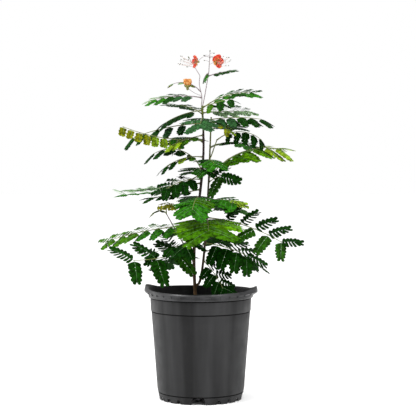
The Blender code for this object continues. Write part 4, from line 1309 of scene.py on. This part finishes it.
def petal_shape(root, along, across, length, width, curl, wave):
    """A clawed, fan-shaped petal with a crimped margin."""
    face = along.cross(across).normalized()
    fan_from, fan_over, lateness = PETAL_FAN
    tip_from, slowness, least = PETAL_TIP
    shape = bmesh.new()
    bmesh.ops.create_grid(shape, x_segments=9, y_segments=10, size=1)
    for vert in shape.verts:
        u, v = (vert.co.x + 1) / 2, vert.co.y
        opened = math.sin(math.pi / 2 * min(max((u - fan_from) / fan_over, 0), 1)) ** lateness
        fan = PETAL_CLAW + (1 - PETAL_CLAW) * opened
        round_off = math.sqrt(max(1 - max(u - tip_from, 0) ** 2 / slowness, least))
        reach = length * (u - PETAL_SIDE_LAG * u * v * v)
        out = width / 2 * v * fan * round_off
        crimp = PETAL_CRIMP * u**2 * math.sin(9 * v + wave)
        crimp += PETAL_FINE_CRIMP * u**3 * math.sin(17 * v + 2 * wave)
        bend = curl * length * u * u
        vert.co = root + along * reach + across * out + face * (crimp + bend)
    bmesh.ops.recalc_face_normals(shape, faces=shape.faces)
    bmesh.ops.solidify(shape, geom=shape.faces[:], thickness=PETAL_THICKNESS)
    bmesh.ops.recalc_face_normals(shape, faces=shape.faces)
    return triangles_of(shape)


def around(axis, first, share):
    """A direction across the axis, a share of a turn on from the first."""
    return Matrix.Rotation(share * math.tau, 3, axis) @ first


def make_flower(flower, age, parts, rng):
    """Sepals, petals, the small upright petal and the long stamens of one flower, added to the parts."""
    centre = Vector(flower.centre) * MM
    axis = (UP + FRONT * YOUNG_LEAN).normalized() if age is YOUNG else level_direction(flower.heading)
    first = axis.orthogonal().normalized()
    opening = math.radians(age.opening)
    sepal_length = SEPAL_LENGTH * flower.size
    calyx_centre = centre - axis * CALYX_BACK * MM
    parts["sepal"].append(bud_shape(calyx_centre, axis, CALYX_LENGTH * flower.size, CALYX_SHARE))
    for petal_number in range(PETALS):
        out = around(axis, first, petal_number / PETALS)
        along = axis * math.cos(opening) + out * math.sin(opening)
        length, width = PETAL_LENGTH * flower.size, PETAL_WIDTH * flower.size * age.width_share
        small = petal_number == 0 and age is OPEN
        if small:
            length, width = length * SMALL_PETAL[0], width * SMALL_PETAL[1]
        finish = "petal_orange" if small or age is YOUNG else "petal_red"
        wave = rng.uniform(0, math.tau)
        across = axis.cross(out).normalized()
        parts[finish].append(petal_shape(centre, along, across, length, width, age.curl, wave))
        out = around(axis, first, (petal_number + 0.5) / PETALS)
        along, across = (axis * SEPAL_RISE + out).normalized(), axis.cross(out).normalized()
        parts["sepal"].append(
            petal_shape(centre - axis * MM, along, across, sepal_length, age.sepal_width, age.curl, 0)
        )
    if age is YOUNG:
        return
    for stamen in range(STAMENS):
        side = around(axis, first, stamen / STAMENS)
        length = STAMEN_LENGTH * flower.size * rng.uniform(*STAMEN_LENGTHS)
        tip = centre + axis * length + side * (STAMEN_SPREAD * rng.uniform(*STAMEN_SPREADS))
        line = bowed_line(centre, tip, -STAMEN_BOW * length, 6)
        parts["filament"].append(thread(line, FILAMENT_RADIUS, 4))
        parts["bud"].append(bud_shape(tip, side, ANTHER_LENGTH, ANTHER_SHARE))


def make_racemes():
    source, looks = random.Random(SEED), random.Random(SEED + 2)
    titles = {
        "stalk_grey": "flower_pedicels", "bud": "buds", "sepal": "sepals", "petal_red": "petals_red",
        "petal_orange": "petals_orange", "filament": "stamens",
    }
    parts = {finish: [] for finish in titles}
    for raceme in RACEMES:
        solid = solid_points(raceme.name)
        limb = limb_named(raceme.limb)
        axis = limb_axis(limb, 1)
        start, top = limb_point(limb, 1) + axis * CLEARANCE, Vector(raceme.top) * MM
        line = bowed_line(start, top, 0, RACEME_STEPS)
        shares = [RACEME_TAPER * step / RACEME_STEPS for step in range(RACEME_STEPS + 1)]
        radii = [raceme.rib_radius * MM * (1 - share) for share in shares]
        parts["stalk_grey"].append(triangles_of(tube(line, radii, STALK_SIDES, FRONT, axis)))
        parts["bud"].append(bud_shape(top, (top - start).normalized(), raceme.bud_length * MM, BUD_SHARE))
        for number in range(raceme.buds):
            base = start.lerp(top, BUDS_FROM + BUDS_OVER * number / raceme.buds)
            level = level_direction(number * GOLDEN_ANGLE)
            out = (level + UP * source.uniform(*BUD_RISES)).normalized()
            reach = BUD_REACH - BUD_REACH_LOSS * number / raceme.buds
            end = base + out * (raceme.spread * MM * reach)
            length = raceme.bud_length * MM * source.uniform(*BUD_LENGTHS)
            if solid.find(end + out * (length / 2))[2] > SAME_PLACE:
                continue
            stem = bowed_line(base, end, BUD_STALK_BOW, 5)
            parts["stalk_grey"].append(thread(stem, BUD_STALK_RADIUS, 5))
            parts["bud"].append(bud_shape(end, out, length, BUD_SHARE))
        for flower in raceme.flowers:
            centre = Vector(flower.centre) * MM
            stem = bowed_line(start.lerp(top, PEDICEL_FROM), centre, PEDICEL_BOW, PEDICEL_STEPS)
            parts["stalk_grey"].append(thread(stem, PEDICEL_RADIUS, 6))
            make_flower(flower, OPEN, parts, looks)
    limb = limb_named("flower_stalk_left")
    centre = Vector(YOUNG_FLOWER.centre) * MM
    share = limb_share(limb, YOUNG_FLOWER_HEIGHT)
    start, out = beside_limb(limb, share, centre - limb_point(limb, share))
    stem = bowed_line(start, centre, -PEDICEL_SAG, PEDICEL_STEPS)
    parts["stalk_grey"].append(thread(stem, PEDICEL_RADIUS, 6, UP, out))
    make_flower(YOUNG_FLOWER, YOUNG, parts, looks)
    nodes = ["raceme_left", "raceme_right", "flower_young"]
    for finish, title in titles.items():
        many_piece(title, parts[finish], finish, nodes, finish != "filament")


# Stage

def make_stage():
    mesh = bpy.data.meshes.new("floor")
    shape = bmesh.new()
    bmesh.ops.create_circle(shape, cap_ends=True, segments=64, radius=FLOOR_RADIUS)
    shape.to_mesh(mesh)
    shape.free()
    floor = bpy.data.objects.new("floor", mesh)
    made, _, shader = new_material("floor", 0.9, 0.1)
    shader.inputs["Base Color"].default_value = FLOOR_WHITE
    mesh.materials.append(made)
    bpy.context.scene.collection.objects.link(floor)


def make_sky():
    """Soft light that is stronger from above, and plain white where the camera sees it."""
    world = bpy.data.worlds.new("studio")
    world.use_nodes = True
    tree = world.node_tree
    background = tree.nodes["Background"]
    background.inputs["Color"].default_value = (1, 1, 1, 1)
    ray = add_node(tree, "LightPath")
    seen = add_node(tree, "Mix", B=1)
    tree.links.new(ray.outputs["Is Camera Ray"], seen.inputs["Factor"])
    tree.links.new(rise_factor(tree, "Generated", To_Min=SKY_LOW, To_Max=SKY_HIGH), seen.inputs["A"])
    tree.links.new(seen.outputs["Result"], background.inputs["Strength"])
    bpy.context.scene.world = world


def add_lamp(name, place, target, size, power):
    data = bpy.data.lights.new(name, "AREA")
    data.shape = "RECTANGLE"
    data.size, data.size_y = size
    data.energy = power
    lamp = bpy.data.objects.new(name, data)
    lamp.location = place
    lamp.rotation_euler = (Vector(target) - Vector(place)).to_track_quat("-Z", "Y").to_euler()
    bpy.context.scene.collection.objects.link(lamp)


def make_camera():
    data = bpy.data.cameras.new("camera")
    data.lens = CAMERA_LENS
    data.sensor_width = 36
    data.sensor_fit = "HORIZONTAL"
    data.clip_end = 100
    camera = bpy.data.objects.new("camera", data)
    outward = FRONT * math.cos(CAMERA_RISE) + UP * math.sin(CAMERA_RISE)
    camera.location = CAMERA_TARGET + outward * CAMERA_DISTANCE
    camera.rotation_euler = (CAMERA_TARGET - camera.location).to_track_quat("-Z", "Y").to_euler()
    bpy.context.scene.collection.objects.link(camera)
    bpy.context.scene.camera = camera


MATERIALS = make_materials()
make_camera()
make_stage()
make_sky()
for lamp in LAMPS:
    add_lamp(*lamp)
bpy.context.scene.view_settings.view_transform = "Standard"
make_pot()
make_soil()
make_chips()
make_limbs(make_fronds())
make_racemes()
